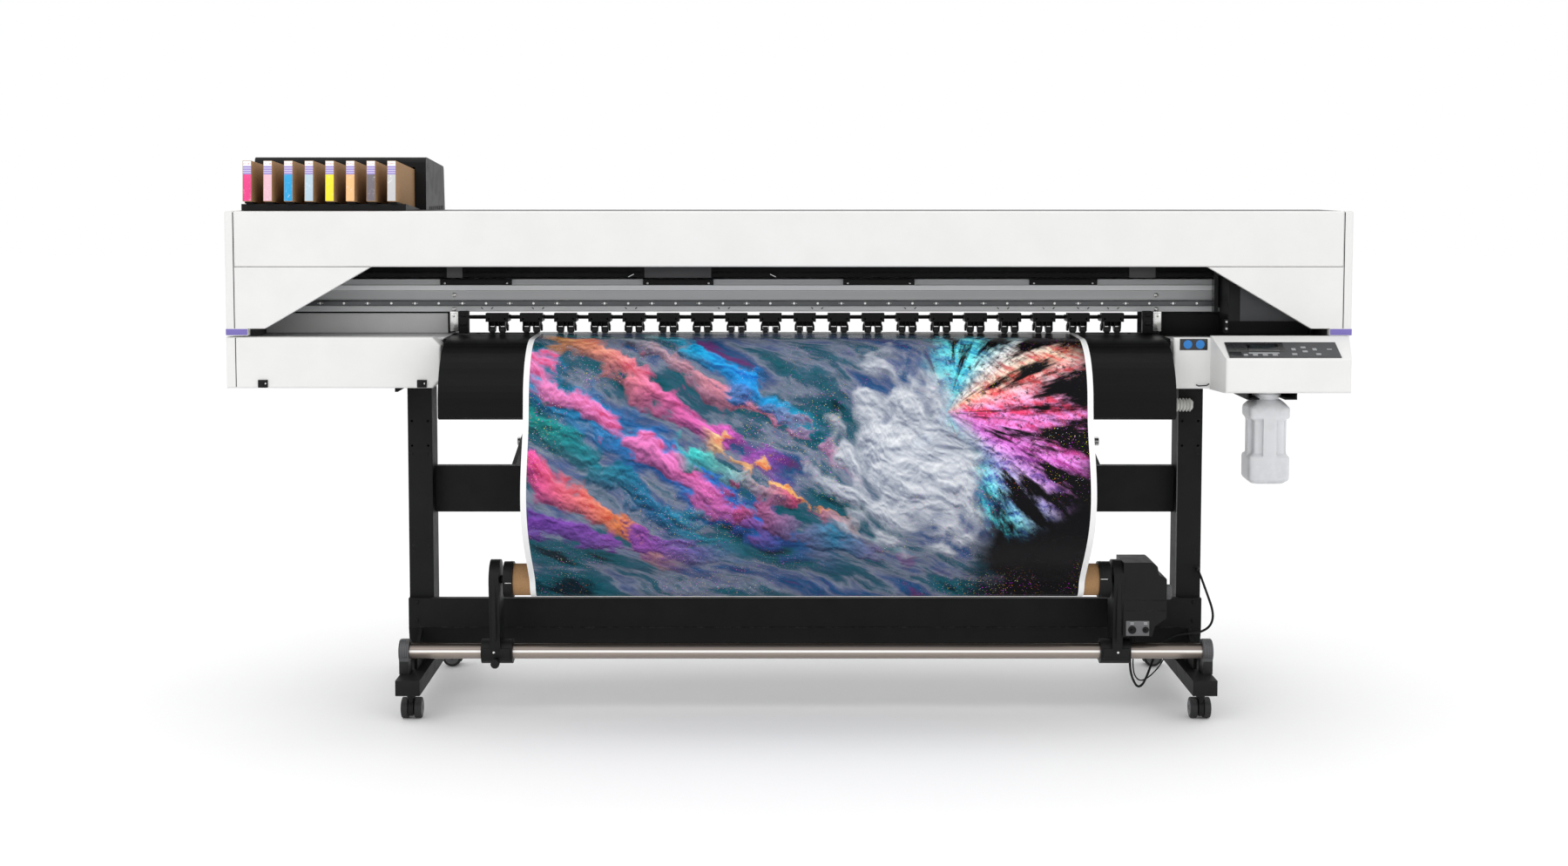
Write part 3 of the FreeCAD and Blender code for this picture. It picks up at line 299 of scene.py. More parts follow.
# the collars are grey around the tube and black at their feet
def collarPaint(tree, place):
    height = put(tree, "ShaderNodeSeparateXYZ", {0: place}).outputs["Z"]
    return blendColour(tree, stepOf(tree, height, 0.1405, 0.1415), (0.008, 0.008, 0.0085, 1),
                       (0.075, 0.077, 0.080, 1))


finish["beam_aluminium"] = makeFinish(
    "beam_aluminium", {**plainLook, "stretch": (3.0, 600.0, 600.0), "rough": 0.4, "metal": 0.1,
                       "second": (0.9, 0.9, 0.9), "depth": 0.00002}, beamLightAndShadeBands)
finish["lid_dark"] = makeFinish("lid_dark", {**plainLook, "rough": 0.4, "worn": (0.3, 0.3, 0.3)}, lidPaintedShade)
finish["rail_steel"] = makeFinish("rail_steel", {**plainLook, "stretch": (6.0, 900.0, 900.0), "metal": 0.55,
                                                 "rough": 0.2, "depth": 0.00002, "second": (0.9, 0.88, 0.86)},
                                  tubePaintedReflections)
finish["collar_grey"] = makeFinish("collar_grey", {**plainLook, "rough": 0.4, "specular": 0.35}, collarPaint)


# shape helpers: each gives (points, faces); faces are index lists
# a loft: rings is an array (stations, points round, 3); neighbours are joined by quads, ends by one face
def loft(rings, caps=True, closed=True):
    stations, around = rings.shape[:2]
    index = np.arange(stations * around).reshape(stations, around)
    following = np.roll(index, -1, axis=1)
    if not closed:
        index, following = index[:, :-1], following[:, :-1]
    quads = np.stack([index[:-1], following[:-1], following[1:], index[1:]], axis=-1).reshape(-1, 4).tolist()
    if caps:
        whole = np.arange(stations * around).reshape(stations, around)
        quads += [whole[0][::-1].tolist(), whole[-1].tolist()]
    return rings.reshape(-1, 3), quads


# a turned part: profile rows are (along, radius); the axis is a letter and the centre a point
def turned(profile, centre, axis="x", around=40):
    profile = np.asarray(profile, float)
    angle = np.linspace(0, 2 * np.pi, around, endpoint=False)
    along = np.repeat(profile[:, :1], around, axis=1)
    first, second = profile[:, 1:] * np.cos(angle), profile[:, 1:] * np.sin(angle)
    order = {"x": (along, first, second), "y": (second, along, first), "z": (first, second, along)}[axis]
    return loft(np.stack(order, axis=-1) + np.asarray(centre, float))


# a turned ring: the profile closes on itself, so it has a hole through it
def ringTurned(profile, centre, axis="x", around=40):
    profile = np.asarray(profile, float)
    angle = np.linspace(0, 2 * np.pi, around, endpoint=False)
    along = np.repeat(profile[None, :, 0], around, axis=0)
    first, second = np.outer(np.cos(angle), profile[:, 1]), np.outer(np.sin(angle), profile[:, 1])
    order = {"x": (along, first, second), "y": (second, along, first), "z": (first, second, along)}[axis]
    rings = np.stack(order, axis=-1) + np.asarray(centre, float)
    return loft(np.concatenate([rings, rings[:1]]), caps=False)


# outline of a rectangle with round corners: quarter circles whose centres sit at the inset corners
def roundOutline(halfX, halfY, radius, steps=4):
    angle = np.linspace(0, np.pi / 2, steps + 1)
    corners = [(1, 1, 0), (-1, 1, 1), (-1, -1, 2), (1, -1, 3)]
    parts = [np.stack([sx * (halfX - radius) + radius * np.cos(angle + turn * np.pi / 2),
                       sy * (halfY - radius) + radius * np.sin(angle + turn * np.pi / 2)], axis=-1)
             for sx, sy, turn in corners]
    return np.concatenate(parts)


# a block with every edge rounded: the outline shrinks along a quarter circle at both ends
def roundBlock(low, high, radius, axis="z", steps=3):
    low, high = np.asarray(low, float), np.asarray(high, float)
    order = {"x": [1, 2, 0], "y": [2, 0, 1], "z": [0, 1, 2]}[axis]
    half, middle = ((high - low) / 2)[order], ((high + low) / 2)[order]
    radius = min(radius, half.min() * 0.98)
    turn = np.linspace(0, np.pi / 2, steps + 1)
    inset = np.concatenate([radius * (1 - np.sin(turn)), (radius * (1 - np.sin(turn)))[::-1]])
    level = np.concatenate([-half[2] + radius * (1 - np.cos(turn)), (half[2] - radius * (1 - np.cos(turn)))[::-1]])
    rings = []
    for shrink, height in zip(inset, level):
        ring = roundOutline(half[0] - shrink, half[1] - shrink, max(radius - shrink, radius * 0.12), steps)
        rings.append(np.column_stack([ring, np.full(len(ring), height)]))
    rings = np.stack(rings) + middle
    back = np.argsort(order)
    return loft(rings[..., back])


# an outline of (a, b) points carried straight along an axis, with its end edges slightly broken
def extruded(outline, span, axis, ease=0.0):
    outline = np.asarray(outline, float)
    middle = outline.mean(axis=0)
    size = np.abs(outline - middle).max(axis=0)
    small = middle + (outline - middle) * (1 - ease / size)
    levels = [(small, span[0]), (outline, span[0] + ease), (outline, span[1] - ease), (small, span[1])]
    if ease == 0:
        levels = levels[1:3]
    rings = np.stack([np.column_stack([ring, np.full(len(ring), place)]) for ring, place in levels])
    back = np.argsort({"x": [1, 2, 0], "y": [0, 2, 1], "z": [0, 1, 2]}[axis])
    return loft(rings[..., back])


# a round bar along points: at each point a circle stands square to the path
def tubeAlong(path, radius, around=12):
    path = np.asarray(path, float)
    ahead = np.gradient(path, axis=0)
    ahead /= np.linalg.norm(ahead, axis=1, keepdims=True)
    side = np.cross(ahead, np.array([0.31, 0.17, 0.93]))
    side /= np.linalg.norm(side, axis=1, keepdims=True)
    up = np.cross(side, ahead)
    angle = np.linspace(0, 2 * np.pi, around, endpoint=False)[None, :, None]
    return loft(path[:, None] + radius * (side[:, None] * np.cos(angle) + up[:, None] * np.sin(angle)))


# joins shapes into one object on a body; each shape may name its material by number
def piece(name, shapes, materials, body="root", slot=None, angle=35.0, uv=None, more=()):
    points, faces, numbers, start = [], [], [], 0
    for shape in shapes:
        points.append(shape[0])
        faces += [[index + start for index in face] for face in shape[1]]
        numbers += [shape[2] if len(shape) > 2 else 0] * len(shape[1])
        start += len(shape[0])
    for extra, number in more:
        faces += extra
        numbers += [number] * len(extra)
    mesh = bpy.data.meshes.new(name)
    mesh.from_pydata(np.concatenate(points).tolist(), [], faces)
    mesh.polygons.foreach_set("material_index", numbers)
    if uv is not None:
        corner = np.empty(len(mesh.loops), dtype=np.int32)
        mesh.loops.foreach_get("vertex_index", corner)
        mesh.uv_layers.new(name="flat").uv.foreach_set("vector", np.asarray(uv, float)[corner].ravel())
    work = bmesh.new()
    work.from_mesh(mesh)
    bmesh.ops.recalc_face_normals(work, faces=work.faces)
    work.to_mesh(mesh)
    work.free()
    for material in materials:
        mesh.materials.append(material)
    mesh.shade_smooth()
    mesh.set_sharp_from_angle(angle=math.radians(angle))
    made = bpy.data.objects.new(name, mesh)
    scene.collection.objects.link(made)
    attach(made, body)
    return made


# the two free leads: a route each, in metres, with a sleeve where the lead enters a housing
leads = {
    "powerLead": {"diameter": 0.006, "length": 0.590, "node": "power_cable", "route": [
        (1.046, -0.043, 0.345), (1.046, -0.063, 0.343), (1.049, -0.084, 0.330), (1.056, -0.097, 0.306),
        (1.066, -0.101, 0.278), (1.075, -0.100, 0.252), (1.078, -0.098, 0.228), (1.070, -0.097, 0.206),
        (1.050, -0.096, 0.193), (1.024, -0.095, 0.188), (0.992, -0.093, 0.184), (0.962, -0.093, 0.172),
        (0.940, -0.098, 0.152), (0.926, -0.108, 0.128), (0.915, -0.119, 0.104), (0.904, -0.128, 0.081),
        (0.893, -0.132, 0.063), (0.881, -0.133, 0.060), (0.871, -0.133, 0.076), (0.864, -0.132, 0.098),
        (0.862, -0.130, 0.124), (0.864, -0.128, 0.152), (0.866, -0.127, 0.181), (0.866, -0.127, 0.209)],
        "sleeves": [("y", (1.046, -0.0435, 0.345), [(0, 0.0075), (-0.003, 0.0075), (-0.004, 0.0058),
                                                   (-0.019, 0.0042), (-0.020, 0.0032)]),
                    ("z", (0.866, -0.127, 0.2088), [(0, 0.0068), (-0.003, 0.0068), (-0.004, 0.0054),
                                                    (-0.021, 0.0041), (-0.022, 0.0032)])]},
    "sensorLead": {"diameter": 0.0035, "length": 0.283, "node": "sensor_cable", "route": [
        (0.972, -0.0475, 0.150), (0.970, -0.052, 0.130), (0.956, -0.067, 0.108), (0.935, -0.084, 0.088),
        (0.912, -0.098, 0.073), (0.892, -0.106, 0.068), (0.877, -0.112, 0.084), (0.872, -0.116, 0.114),
        (0.874, -0.118, 0.148), (0.877, -0.119, 0.180), (0.877, -0.120, 0.209)],
        "sleeves": [("z", (0.877, -0.120, 0.2088), [(0, 0.0044), (-0.002, 0.0044), (-0.003, 0.0034),
                                                    (-0.014, 0.0026), (-0.015, 0.0019)])]},
}
for name, lead in leads.items():
    curve = bpy.data.curves.new(name, "CURVE")
    curve.dimensions = "3D"
    curve.bevel_depth = lead["diameter"] / 2
    curve.bevel_resolution = 4
    curve.resolution_u = 10
    curve.use_fill_caps = True
    spline = curve.splines.new("NURBS")
    route = np.array(lead["route"])
    spline.points.add(len(route) - 1)
    spline.points.foreach_set("co", np.column_stack([route, np.ones(len(route))]).ravel())
    spline.order_u = 3
    spline.use_endpoint_u = True
    curve.materials.append(finish["cable_black"])
    cable = bpy.data.objects.new(name, curve)
    scene.collection.objects.link(cable)
    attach(cable, "root")
    sleeves = [piece("%sSleeve%d" % (name, number + 1), [turned(profile, place, axis, 20)],
                     [finish["rubber_black"]], slot="rubber_black")
               for number, (axis, place, profile) in enumerate(lead["sleeves"])]
    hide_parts(lead["node"])
print("leads laid")

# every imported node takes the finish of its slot
slotOf = {row["node"]: row["material_slot"] for row in frame["record"]["subparts"]}
for name, node in nodes.items():
    chosen = finish.get(slotOf[name], finish["plastic_black"])
    if not node.data.materials:
        node.data.materials.append(chosen)
    for place in node.material_slots:
        place.material = chosen
print("packed nodes finished")


# the film: one thin sheet from the supply roll, over both guides, out in a loose loop and round the core
filmLook = {"left": -0.6405, "right": 0.7315, "thick": 0.0005, "columns": 56, "ripple": 0.0016}


# points on an ellipse in the YZ plane; 0 degrees is straight up and positive leans to the back
def ellipsePart(centre, radii, start, stop, count):
    angle = np.radians(np.linspace(start, stop, count))
    return np.column_stack([centre[0] + radii[0] * np.sin(angle), centre[1] + radii[1] * np.cos(angle)])


# loop between the guide and the core: a straight run pushed out by sin(pi t)^1.25, fuller low down
def loopPart(count):
    t = np.linspace(0, 1, count)
    sag = 0.1225 * np.sin(np.pi * np.clip(t, 1e-6, 1)) ** 1.25 * (1 + 0.25 * (t - 0.5))
    return np.column_stack([-0.337 + 0.114 * t - sag, 0.768 - 0.424 * t])


def filmLine():
    rear = ellipsePart((0.030, 0.7845), (0.2606, 0.1611), 84, 0, 40)
    dy, dz = rear[0] - (0.330, 0.625)
    turn = math.atan2(dz, dy) - math.acos(0.0756 / math.hypot(dy, dz))
    start = [(0.330 + 0.0756 * math.cos(turn), 0.625 + 0.0756 * math.sin(turn))]
    front = ellipsePart((-0.170, 0.798), (-0.1626, 0.1476), 2, 88, 40)
    wrap = ellipsePart((-0.180, 0.344), (-0.0426, 0.0426), 94, 180, 20)
    line = np.concatenate([start, rear, front, loopPart(90)[2:-1], wrap])
    step = np.concatenate([[0], np.cumsum(np.hypot(*np.diff(line, axis=0).T))])
    even = np.linspace(0, step[-1], 420)
    line = np.column_stack([np.interp(even, step, line[:, 0]), np.interp(even, step, line[:, 1])])
    smooth = line.copy()
    for _ in range(6):
        smooth[1:-1] = (smooth[:-2] + 2 * smooth[1:-1] + smooth[2:]) / 4
    return smooth, even


line, along = filmLine()
ahead = np.gradient(line, axis=0)
ahead /= np.linalg.norm(ahead, axis=1, keepdims=True)
outward = np.column_stack([ahead[:, 1], -ahead[:, 0]])
outward *= np.sign((outward[200] * (-1, 0)).sum())
pinch = along[np.argmin(np.abs(line[:, 0] - 0.010) + 5 * np.abs(line[:, 1] - 0.945))]
across = np.linspace(filmLook["left"], filmLook["right"], filmLook["columns"])
lowest = along[np.argmin(np.abs(line[:, 1] - 0.344) + 5 * (line[:, 0] > -0.2))]
share = np.clip((along - pinch - 0.30) / (lowest - pinch - 0.30), 0, 1)
swell = np.sin(np.pi * share)[:, None] * filmLook["ripple"] * (1 + np.sin(across * 9.0 + 1.2)) / 2
layers = []
for side in (0.5, -0.5):
    flat = line[:, None] + outward[:, None] * (side * filmLook["thick"] - swell[..., None])
    layers.append(np.concatenate([np.broadcast_to(across[None, :, None], flat.shape[:2] + (1,)), flat], axis=2))
rows, columns = layers[0].shape[:2]
index = np.arange(rows * columns).reshape(rows, columns)
quads = np.stack([index[:-1, :-1], index[:-1, 1:], index[1:, 1:], index[1:, :-1]], axis=-1).reshape(-1, 4)
rim = np.concatenate([index[0], index[1:, -1], index[-1, -2::-1], index[-2:0:-1, 0]])
rimNext = np.roll(rim, -1)
size = rows * columns
edge = np.column_stack([rim, rimNext, rimNext + size, rim + size]).tolist()
filmUv = np.tile(np.stack(np.meshgrid(along - pinch, across - filmLook["left"], indexing="ij")[::-1],
                          axis=-1).reshape(-1, 2), (2, 1))
printLength = lowest - pinch + 0.050
print("film line:", round(float(along[-1]), 3), "m, printed", round(float(printLength), 3))


# the print: streams of coloured powder that fall from the upper left, pale smoke, and a burst on black at
# the right; warped noise gives them ragged edges and a relief of light and shade
def makePrint():
    material, tree, place = openMaterial("film_print")
    uv = put(tree, "ShaderNodeUVMap", uv_map="flat").outputs[0]
    parts = put(tree, "ShaderNodeSeparateXYZ", {0: uv})
    u, v = parts.outputs["X"], parts.outputs["Y"]
    warp = put(tree, "ShaderNodeTexNoise", {"Vector": uv, "Scale": 2.6, "Detail": 5.0, "Roughness": 0.55})
    bend = put(tree, "ShaderNodeVectorMath", {0: warp.outputs["Color"], 1: (0.5, 0.5, 0.5)}, operation="SUBTRACT")
    bent = put(tree, "ShaderNodeVectorMath", {0: bend.outputs[0], 1: (0.16, 0.16, 0.0), 2: uv},
               operation="MULTIPLY_ADD").outputs[0]
    turn = put(tree, "ShaderNodeMapping", {"Vector": bent, "Rotation": (0, 0, math.radians(-32))}).outputs[0]
    # powder clouds: two samples a little apart give their lit and shaded sides
    clouds = []
    puffPlace = put(tree, "ShaderNodeMapping", {"Vector": turn, "Scale": (1.0, 1.5, 1.0)}).outputs[0]
    for move in ((0, 0, 0), (0.004, 0.009, 0)):
        moved = put(tree, "ShaderNodeMapping", {"Vector": puffPlace, "Location": move}).outputs[0]
        clouds.append(put(tree, "ShaderNodeTexNoise", {"Vector": moved, "Scale": 12.0, "Detail": 7.0,
                                                       "Roughness": 0.55, "Distortion": 0.1}).outputs[0])
    relief = calc(tree, "MULTIPLY_ADD", calc(tree, "SUBTRACT", clouds[0], clouds[1]), 5.0, 0.5, clamp=True)
    puff = calc(tree, "SUBTRACT", clouds[0], 0.5)
    # slate and teal mist, drawn out along the streams
    mistPlace = put(tree, "ShaderNodeMapping", {"Vector": turn, "Scale": (0.9, 3.2, 1.0)}).outputs[0]
    mist = noiseOf(tree, mistPlace, 3.0, 7.0, 0.6)
    colour = rampOf(tree, mist, [(0.34, (0.002, 0.012, 0.02)), (0.41, (0.006, 0.08, 0.11)),
                                 (0.47, (0.03, 0.09, 0.14)), (0.52, (0.16, 0.19, 0.26)),
                                 (0.57, (0.07, 0.10, 0.21)), (0.61, (0.01, 0.07, 0.18)),
                                 (0.67, (0.10, 0.03, 0.13))])
    # streams of powder: height at the left edge, fall per metre, half width, first and last place across,
    # and three colours along the way
    streams = [(0.330, 0.72, 0.095, -0.10, 0.80, (0.01, 0.22, 0.42), (0.01, 0.14, 0.50), (0.02, 0.08, 0.36)),
               (0.060, 0.66, 0.036, 0.02, 0.95, (0.06, 0.36, 0.40), (0.62, 0.20, 0.26), (0.50, 0.18, 0.40)),
               (0.135, 0.78, 0.056, 0.00, 0.72, (0.86, 0.36, 0.07), (0.72, 0.12, 0.36), (0.20, 0.04, 0.46)),
               (-0.090, 0.86, 0.050, 0.24, 0.80, (0.01, 0.46, 0.52), (0.01, 0.26, 0.70), (0.01, 0.36, 0.46)),
               (0.305, 0.78, 0.052, -0.10, 0.66, (0.84, 0.20, 0.46), (0.74, 0.16, 0.42), (0.50, 0.06, 0.30)),
               (0.440, 0.80, 0.060, -0.10, 0.60, (0.01, 0.22, 0.20), (0.01, 0.13, 0.26), (0.02, 0.24, 0.30)),
               (0.560, 0.84, 0.060, -0.10, 0.44, (0.72, 0.07, 0.26), (0.80, 0.24, 0.07), (0.62, 0.06, 0.10)),
               (0.190, 0.72, 0.030, 0.40, 0.90, (0.80, 0.50, 0.22), (0.84, 0.38, 0.09), (0.80, 0.20, 0.08)),
               (0.330, 0.54, 0.028, 0.34, 0.98, (0.05, 0.52, 0.48), (0.48, 0.05, 0.16), (0.06, 0.46, 0.44)),
               (0.450, 0.45, 0.040, 0.45, 1.05, (0.45, 0.06, 0.16), (0.02, 0.20, 0.34), (0.36, 0.06, 0.24)),
               (0.710, 0.30, 0.050, -0.10, 0.60, (0.16, 0.05, 0.34), (0.26, 0.07, 0.40), (0.02, 0.16, 0.30))]
    powder = 0.0
    bentParts = put(tree, "ShaderNodeSeparateXYZ", {0: bent})
    across, down = bentParts.outputs["X"], bentParts.outputs["Y"]
    for start, fall, half, first, last, *tones in streams:
        gone = calc(tree, "SUBTRACT", down, calc(tree, "MULTIPLY_ADD", across, fall, start))
        ragged = calc(tree, "MULTIPLY_ADD", puff, 0.26, calc(tree, "ABSOLUTE", gone))
        mask = calc(tree, "MULTIPLY", stepOf(tree, ragged, half, half * 0.45),
                    calc(tree, "MULTIPLY", stepOf(tree, across, first, first + 0.05),
                         stepOf(tree, across, last, last - 0.25)))
        tone = rampOf(tree, put(tree, "ShaderNodeMapRange", {"Value": across, "From Min": max(first, 0.0),
                                                             "From Max": last}).outputs[0],
                      [(0.1, tones[0]), (0.5, tones[1]), (0.9, tones[2])])
        shade = calc(tree, "MULTIPLY_ADD", stepOf(tree, gone, half * 0.8, -half * 0.5), 0.75, 0.25)
        tone = blendColour(tree, shade, blendColour(tree, 0.75, tone, (0.02, 0.02, 0.08, 1)), tone)
        colour = blendColour(tree, calc(tree, "MULTIPLY", mask, 0.92), colour, tone)
        powder = calc(tree, "MAXIMUM", powder, mask)
    lighting = rampOf(tree, relief, [(0.1, (0.10, 0.10, 0.14)), (0.5, (0.46, 0.46, 0.47)),
                                     (0.9, (0.90, 0.88, 0.86))])
    colour = blendColour(tree, calc(tree, "MULTIPLY_ADD", powder, 0.55, 0.22), colour, lighting, "OVERLAY")
    # pale smoke right of the middle
    swirlPlace = put(tree, "ShaderNodeMapping", {"Vector": bent, "Location": (-0.93, -0.40, 0),
                                                 "Scale": (1.0, 0.72, 1.0)}).outputs[0]
    away = put(tree, "ShaderNodeVectorMath", {0: swirlPlace}, operation="LENGTH").outputs["Value"]
    marble = rampOf(tree, calc(tree, "MULTIPLY_ADD", relief, 0.42, calc(tree, "MULTIPLY", mist, 0.6)),
                    [(0.2, (0.05, 0.06, 0.10)), (0.40, (0.24, 0.27, 0.34)), (0.56, (0.46, 0.49, 0.55)),
                     (0.8, (0.78, 0.80, 0.83))])
    pale = stepOf(tree, calc(tree, "MULTIPLY_ADD", puff, 0.5, away), 0.20, 0.11)
    colour = blendColour(tree, pale, colour, marble)
    # black right third with a burst of coloured streaks
    fade = calc(tree, "MULTIPLY_ADD", calc(tree, "SUBTRACT", warp.outputs[0], 0.5), 0.5, u)
    slope = calc(tree, "MULTIPLY_ADD", v, -0.16, fade)
    dark = stepOf(tree, slope, 0.90, 1.02)
    rayPlace = put(tree, "ShaderNodeMapping", {"Vector": uv, "Location": (-1.02, -0.44, 0)}).outputs[0]
    ray = put(tree, "ShaderNodeSeparateXYZ", {0: rayPlace})
    bearing = calc(tree, "ARCTAN2", ray.outputs["Y"], ray.outputs["X"])
    reach = put(tree, "ShaderNodeVectorMath", {0: rayPlace}, operation="LENGTH").outputs["Value"]
    rays = put(tree, "ShaderNodeCombineXYZ", {"X": calc(tree, "MULTIPLY", bearing, 2.2),
                                              "Y": calc(tree, "MULTIPLY", reach, 2.0)}).outputs[0]
    streak = noiseOf(tree, rays, 2.4, 8.0, 0.6)
    burst = calc(tree, "MULTIPLY", stepOf(tree, calc(tree, "MULTIPLY_ADD", reach, -0.42, streak), 0.33, 0.47),
                 stepOf(tree, reach, 0.40, 0.30))
    burst = calc(tree, "MULTIPLY", burst, stepOf(tree, noiseOf(tree, uv, 60.0, 4.0, 0.8), 0.30, 0.52))
    burstColour = rampOf(tree, put(tree, "ShaderNodeMapRange", {"Value": bearing, "From Min": -2.6,
                                                               "From Max": 2.6}).outputs[0],
                         [(0.0, (0.10, 0.50, 0.75)), (0.28, (0.10, 0.60, 0.72)), (0.40, (0.92, 0.42, 0.30)),
                          (0.50, (0.93, 0.20, 0.50)), (0.60, (0.60, 0.16, 0.60)), (0.72, (0.05, 0.52, 0.66)),
                          (0.9, (0.12, 0.30, 0.55))])
    burstColour = blendColour(tree, 0.8, burstColour, rampOf(tree, relief, [(0.2, (0.1, 0.1, 0.12)),
                                                                           (0.8, (1, 1, 1))]), "OVERLAY")
    black = (0.0035, 0.0035, 0.0045, 1)
    night = blendColour(tree, burst, black, burstColour)
    colour = blendColour(tree, dark, colour, night)
    # black corner at the top, above the burst
    top = calc(tree, "MULTIPLY", stepOf(tree, calc(tree, "MULTIPLY_ADD", u, -0.35, v), -0.18, -0.32),
               stepOf(tree, u, 0.30, 0.66))
    colour = blendColour(tree, top, colour, black)
    # flying grains of powder
    for size, limit, share in ((150.0, 0.17, 0.70), (320.0, 0.24, 0.60)):
        cells = put(tree, "ShaderNodeTexVoronoi", {"Vector": uv, "Scale": size})
        dot = stepOf(tree, cells.outputs["Distance"], limit, limit * 0.6)
        few = calc(tree, "GREATER_THAN", put(tree, "ShaderNodeSeparateColor",
                                             {0: cells.outputs["Color"]}).outputs[0], share)
        near = stepOf(tree, noiseOf(tree, uv, 3.2, 3.0, 0.6), 0.44, 0.60)
        grain = calc(tree, "MULTIPLY", calc(tree, "MULTIPLY", dot, few), near)
        bright = put(tree, "ShaderNodeHueSaturation", {"Saturation": 1.5, "Value": 1.1,
                                                       "Color": cells.outputs["Color"]}).outputs[0]
        colour = blendColour(tree, grain, colour, bright)
    # white margins at both edges, at the lower end and on everything not yet printed
    inside = calc(tree, "MULTIPLY", calc(tree, "GREATER_THAN", u, 0.014), calc(tree, "LESS_THAN", u, 1.358))
    length = calc(tree, "MULTIPLY", calc(tree, "GREATER_THAN", v, 0.012),
                  calc(tree, "LESS_THAN", v, float(printLength)))
    inked = calc(tree, "MULTIPLY", inside, length)
    colour = blendColour(tree, inked, (0.84, 0.84, 0.84, 1), colour)
    peel = noiseOf(tree, uv, 900.0, 2.0, 0.5)
    smear = useGroup(tree, wipedSmears, {"Vector": place, "Scale": 5.0})["Mask"]
    bump = put(tree, "ShaderNodeBump", {"Height": peel, "Distance": 0.00001, "Strength": 0.4})
    sheen = calc(tree, "MULTIPLY", stepOf(tree, v, 0.02, 0.09), stepOf(tree, v, 0.24, 0.13))
    closeMaterial(tree, {"specular": 0.1}, colour, calc(tree, "MULTIPLY_ADD", smear, 0.08, 0.22), bump.outputs[0],
                  {"Specular IOR Level": calc(tree, "MULTIPLY_ADD", sheen, 0.5, 0.07)})
    return material


finish["film_print"] = makePrint()
faces = [(np.concatenate([layers[0].reshape(-1, 3), layers[1].reshape(-1, 3)]), quads.tolist())]
film = piece("printedFilm", faces, [finish["film_print"], finish["film_white"]], slot="film_print", angle=60,
             uv=filmUv, more=[((quads[:, ::-1] + size).tolist(), 1), (edge, 1)])
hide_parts("media_web")
print("film made")


# take-up roll: a spiral-wound card core and the first turns of film round it
coreLook = {"left": -0.684, "right": 0.770, "outer": 0.0395, "inner": 0.0375, "film": 0.0415}


def makeCard(name, colour, spiral):
    material, tree, place = openMaterial(name)
    parts = put(tree, "ShaderNodeSeparateXYZ", {0: place})
    turn = calc(tree, "ARCTAN2", calc(tree, "SUBTRACT", parts.outputs["Z"], 0.344),
                calc(tree, "ADD", parts.outputs["Y"], 0.180))
    wound = calc(tree, "MULTIPLY_ADD", turn, 0.159, calc(tree, "MULTIPLY", parts.outputs["X"], 9.0))
    seam = stepOf(tree, calc(tree, "PINGPONG", wound, 0.5), 0.0, 0.035, 1.0, 0.0)
    fibre = put(tree, "ShaderNodeMapping", {"Vector": place, "Scale": (900.0, 260.0, 260.0)}).outputs[0]
    flecks = noiseOf(tree, fibre, 1.0, 4.0, 0.7)
    clouds = noiseOf(tree, place, 22.0, 4.0, 0.6)
    dark = tuple(part * 0.62 for part in colour) + (1,)
    tone = blendColour(tree, stepOf(tree, flecks, 0.3, 0.75), colour + (1,), dark)
    tone = blendColour(tree, calc(tree, "MULTIPLY", clouds, 0.35), tone, dark)
    tone = blendColour(tree, calc(tree, "MULTIPLY", seam, spiral), tone, dark)
    bump = put(tree, "ShaderNodeBump", {"Height": flecks, "Distance": 0.00008, "Strength": 0.5})
    closeMaterial(tree, {"specular": 0.25}, tone, calc(tree, "MULTIPLY_ADD", clouds, 0.1, 0.66), bump.outputs[0])
    return material


finish["card_brown"] = makeCard("card_brown", (0.42, 0.24, 0.11), 0.8)
finish["carton"] = makeCard("carton", (0.40, 0.235, 0.115), 0.0)
ease = 0.0006
left, right, outer, inner = (coreLook[key] for key in ("left", "right", "outer", "inner"))
core = piece("takeupCore", [ringTurned([(left, inner + ease), (left, outer - ease), (left + ease, outer),
                                        (right - ease, outer), (right, outer - ease), (right, inner + ease),
                                        (right - ease, inner), (left + ease, inner)],
                                       (0, -0.180, 0.344), "x", 64)],
             [finish["card_brown"]], body="takeup_roll", slot="card_brown")
first, last, film = filmLook["left"], filmLook["right"], coreLook["film"]
turns = np.linspace(outer, film, 5)
ends = [(first + 0.0004 * (number % 2), radius) for number, radius in enumerate(turns)]
profile = ends + [(last - 0.0004 * (number % 2), radius) for number, radius in enumerate(turns[::-1])]
piece("woundFilm", [ringTurned(profile, (0, -0.180, 0.344), "x", 96)], [finish["film_white"]],
      body="takeup_roll", slot="film_white", angle=50)
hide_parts("takeup_roll")

# supply roll at the back: wound film with stepped ends, its flanges and the spindle
supplyLook = {"radius": 0.075, "core": 0.0385, "place": (0, 0.330, 0.625),
              "flange": [(0, 0.013), (0, 0.036), (0, 0.060), (0.004, 0.060), (0.006, 0.058), (0.010, 0.030),
                         (0.020, 0.026), (0.024, 0.022)],
              "spindle": [(-0.735, 0.0112), (-0.734, 0.012), (0.849, 0.012), (0.850, 0.0112)]}
turns = np.linspace(supplyLook["core"], supplyLook["radius"], 26)
ends = [(first + 0.0005 * (number % 2) + 0.0004 * math.sin(number), radius)
        for number, radius in enumerate(turns)]
profile = ends + [(last - 0.0005 * (number % 2), radius) for number, radius in enumerate(turns[::-1])]
roll = piece("supplyFilm", [ringTurned(profile, supplyLook["place"], "x", 96)], [finish["film_white"]],
             body="supply_roll", slot="film_white", angle=50)
spindle = [turned(supplyLook["spindle"], supplyLook["place"], "x", 32) + (1,)]
spindle += [turned([(end + side * step, radius) for step, radius in supplyLook["flange"]],
                   supplyLook["place"], "x", 48) + (0,) for side, end in ((-1, first), (1, last))]
piece("supplySpindle", spindle, [finish["plastic_black"], finish["steel_bright"]], body="supply_roll")
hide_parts("supply_roll")
print("rolls made")

